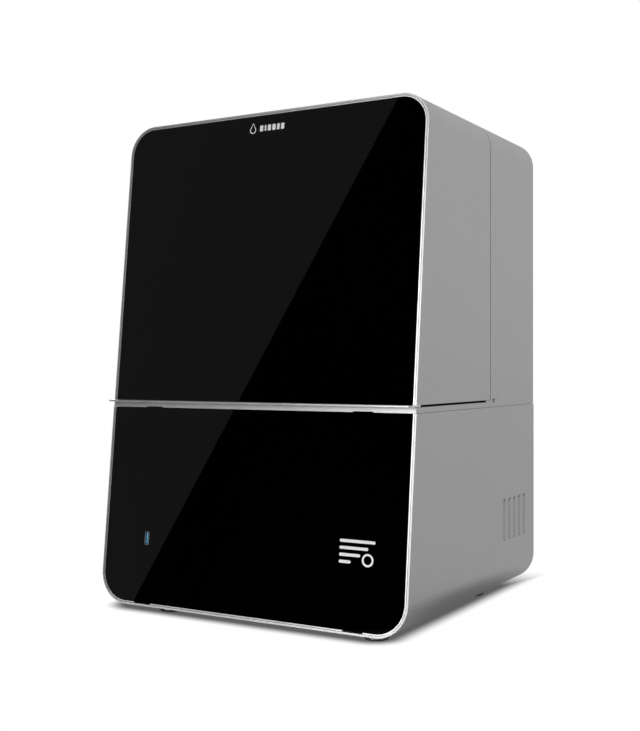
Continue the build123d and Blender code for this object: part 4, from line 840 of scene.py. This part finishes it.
FACE_FRONT = Matrix.Rotation(pi / 2, 4, "X")
FACE_REAR = Matrix.Rotation(-pi / 2, 4, "X")
BLOCK_HALF, BLOCK_MIDDLE, HOLE_OFFSET = 13.5 * MM, 17 * MM, 9 * MM
plate_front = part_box("carriage_plate")[0].y
blocks_low, blocks_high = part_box("carriage_blocks")
rail_x = blocks_high.x - BLOCK_HALF
block_heights = (blocks_low.z + BLOCK_MIDDLE, blocks_high.z - BLOCK_MIDDLE)
places = [Matrix.Translation((x + dx, plate_front + 0.1 * MM, z + dz)) @ FACE_FRONT
          for x in (-rail_x, rail_x) for z in block_heights
          for dx in (-HOLE_OFFSET, HOLE_OFFSET) for dz in (-HOLE_OFFSET, HOLE_OFFSET)]
screws("carriage_screws", socket_screw(2.7 * MM, 2.8 * MM), places, "carriage")

RAIL_HOLES, RAIL_PITCH, RAIL_SHIFT, RAIL_SINK = 12, 25 * MM, 1 * MM, 3.9 * MM
rail_low, rail_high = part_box("linear_rails")
first = (rail_low.z + rail_high.z) / 2 - (RAIL_HOLES - 1) / 2 * RAIL_PITCH + RAIL_SHIFT
places = [Matrix.Translation((x, rail_low.y + RAIL_SINK, first + i * RAIL_PITCH)) @ FACE_FRONT
          for x in (-rail_x, rail_x) for i in range(RAIL_HOLES)]
screws("rail_screws", socket_screw(2.7 * MM, 3.0 * MM), places, "base")

eyes = [Matrix.Rotation(turn, 3, "Y") @ Vector((EYE, 0, end * outer)) for turn in CROSSED for end in (-1, 1)]
seat = Vector((0, 0.6 * MM, 0))
places = [Matrix.Translation(middle_of_guard + eye - seat) @ FACE_REAR for eye in eyes]
screws("guard_screws", socket_screw(2.2 * MM, 1.6 * MM), places, "base")

# %% [markdown]
# ### The film ring's screws
#
# The release film is clamped to the vat by a ring with a row of small screws all round. They are
# only seen from below, or through the film, so a shallow dome does. It is a cylinder whose top is
# drawn in, with a shallow pit pressed into its middle.

# %% Ring screws
FROM_RIM, ALONG_SIDE, ALONG_FRONT = 5.5 * MM, 25 * MM, 26 * MM
clean_start()
bpy.ops.mesh.primitive_cylinder_add(vertices=20, radius=1.6 * MM, depth=1.2 * MM, location=(0, 0, 0.6 * MM))
dome = bpy.context.object
choose(dome, lambda face: face.normal.z > 0.9)
bpy.ops.mesh.inset(thickness=0.5 * MM)
bpy.ops.transform.translate(value=(0, 0, 0.25 * MM))
bpy.ops.mesh.inset(thickness=0.35 * MM)
bpy.ops.mesh.extrude_region_move(TRANSFORM_OT_translate={"value": (0, 0, -0.6 * MM)})
bpy.ops.object.mode_set(mode="OBJECT")
ring_low, ring_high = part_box("film_ring")
ring_mid = (ring_low + ring_high) / 2
ring_x = (ring_high.x - ring_low.x) / 2 - FROM_RIM
ring_y = (ring_high.y - ring_low.y) / 2 - FROM_RIM
spots = [(x, ring_mid.y + (i - 2.5) * ALONG_SIDE) for x in (-ring_x, ring_x) for i in range(6)]
spots += [((i - 3.5) * ALONG_FRONT, ring_mid.y + y) for y in (-ring_y, ring_y) for i in range(8)]
upside_down = Matrix.Rotation(pi, 4, "X")
places = [Matrix.Translation((x, y, ring_high.z - 0.1 * MM)) @ upside_down for x, y in spots]
screws("film_ring_screws", dome, places, "vat")

# %% [markdown]
# ### The printed marks
#
# The panes carry small white prints. The real ones are names, so here they are replaced by plain
# pictures that fill the same space: a drop of resin beside a row of bars on the upper
# pane, and a stack of printed layers on the lower. They are a few hundredths of a millimetre thick.


# %% Helpers for marks
def on_pane(x, z):
    """The frame on the raked pane at (x, z): its own x runs across, its own y runs up the pane."""
    up = Vector((0, LEAN, 1)).normalized()
    spot = Vector((x, pane_low.y + (z - pane_low.z) * LEAN, z)) - glass_normal * PRINT_SINK
    return Matrix.Translation(spot) @ facing(Vector((1, 0, 0)), up, glass_normal)


def facing(across, up, out):
    """The turn that lays a flat mark with its own x, y and z along those three directions."""
    return Matrix((across, up, out)).transposed().to_4x4()


def thicken():
    """Gives the flat faces that are selected the thickness of a print."""
    bpy.ops.mesh.extrude_region_move(TRANSFORM_OT_translate={"value": (0, 0, PRINT)})
    bpy.ops.object.mode_set(mode="OBJECT")


def bar(width, height, spot, corner):
    """A thin printed bar with rounded corners, centred on `spot` of the pane's own x and y."""
    clean_start()
    bpy.ops.mesh.primitive_plane_add(size=1, location=(*spot, 0))
    made = bpy.context.object
    bpy.ops.object.mode_set(mode="EDIT")
    bpy.ops.transform.resize(value=(width, height, 1))
    bpy.ops.mesh.bevel(offset=corner, segments=4, affect="VERTICES")
    thicken()
    return made


def ring_mark(radius, line, spot, point=0.0):
    """A thin printed ring. With `point` above 0 its top is drawn up into a drop."""
    clean_start()
    bpy.ops.mesh.primitive_circle_add(vertices=40, radius=radius, fill_type="NGON", location=(*spot, 0))
    made = bpy.context.object
    bpy.ops.object.mode_set(mode="EDIT")
    bpy.ops.mesh.inset(thickness=line)
    bpy.ops.mesh.delete(type="FACE")
    bpy.ops.object.mode_set(mode="OBJECT")
    for share in (0.35, 0.6, 0.8, 0.94) if point else ():
        choose(made, lambda corner: corner.co.y > share * radius, "VERT")
        bpy.ops.transform.translate(value=(0, point / 4, 0))
        bpy.ops.transform.resize(value=(0.78, 1, 1), center_override=(*spot, 0))
        bpy.ops.object.mode_set(mode="OBJECT")
    choose(made, lambda face: True)
    thicken()
    return made


def print_on(name, pieces, frame_on_pane, body):
    """Joins marks, lays them on the pane and lets them ride."""
    mark = gather(name, pieces)
    place_in_mesh(mark)
    choose(mark, lambda face: True)
    bpy.ops.mesh.normals_make_consistent(inside=False)
    bpy.ops.object.mode_set(mode="OBJECT")
    mark.matrix_world = frame_on_pane
    settle(mark, mark_white)
    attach(mark, body)
    print(name, "-", len(mark.data.polygons), "faces")


PRINT, PRINT_SINK = 0.04 * MM, 0.001 * MM
print("print thickness in mm:", PRINT / MM)

# %% [markdown]
# The row of bars has wide and narrow ones, like printed samples side by side. The stack's bars get
# shorter towards the bottom and leave room for the ring.

# %% Marks
UPPER_HEIGHT, LOWER_HEIGHT, LOWER_ACROSS = 562.47 * MM, 100.97 * MM, 139 * MM
BAR_TALL, BAR_GAP, BAR_CORNER = 7.0 * MM, 1.9 * MM, 0.9 * MM
LAYER_TALL, LAYER_STEP, LAYER_CORNER = 3.2 * MM, 7.2 * MM, 1.5 * MM
marks = [ring_mark(4.2 * MM, 1.1 * MM, (-22 * MM, -1.0 * MM), 3.6 * MM)]
x = -12.5 * MM
for width in (4.4, 2.2, 4.4, 4.4, 3.4, 4.4):
    marks.append(bar(width * MM, BAR_TALL, (x + width * MM / 2, 0), BAR_CORNER))
    x += width * MM + BAR_GAP
print_on("upper_mark", marks, on_pane(0, low.z + UPPER_HEIGHT), "cover")

marks = [bar(width * MM, LAYER_TALL, ((width / 2 - 21) * MM, 9.0 * MM - i * LAYER_STEP), LAYER_CORNER)
         for i, width in enumerate((42, 34, 25, 14))]
marks.append(ring_mark(6.8 * MM, 2.2 * MM, (12.8 * MM, -9.4 * MM)))
print_on("lower_mark", marks, on_pane(LOWER_ACROSS, low.z + LOWER_HEIGHT), "base")

# %% [markdown]
# ### The switch's signs
#
# A rocker switch shows a line for on and a ring for off. They are the same on every machine in the
# world, so they can be drawn as they are. Each lies flat on its half of the tipped rocker.

# %% Rocker signs
TILT, SLOPE = radians(8), 0.15
PIVOT_TO_FACE, MIDDLE_TO_SIGN = 2.4 * MM, 4.2 * MM
pivot = Vector(next(j["pos_m"] for j in frame["joints"] if j["name"] == "power_switch_rock"))
outward = Vector((0, cos(TILT), sin(TILT)))
upward = Vector((0, -sin(TILT), cos(TILT)))
signs = []
for half in (1, -1):
    up = (upward + outward * half * SLOPE).normalized()
    out = (outward - upward * half * SLOPE).normalized()
    spot = pivot + outward * PIVOT_TO_FACE + upward * half * MIDDLE_TO_SIGN + out * 0.03 * MM
    sign = bar(0.8 * MM, 4.0 * MM, (0, 0), 0.2 * MM) if half > 0 else ring_mark(1.9 * MM, 0.6 * MM, (0, 0))
    place_in_mesh(sign)
    sign.matrix_world = Matrix.Translation(spot) @ facing(Vector((-1, 0, 0)), up, out)
    signs.append(sign)
rocker_signs = settle(gather("rocker_signs", signs), mark_white)
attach(rocker_signs, "power_switch")
print("signs on the rocker:", len(signs))
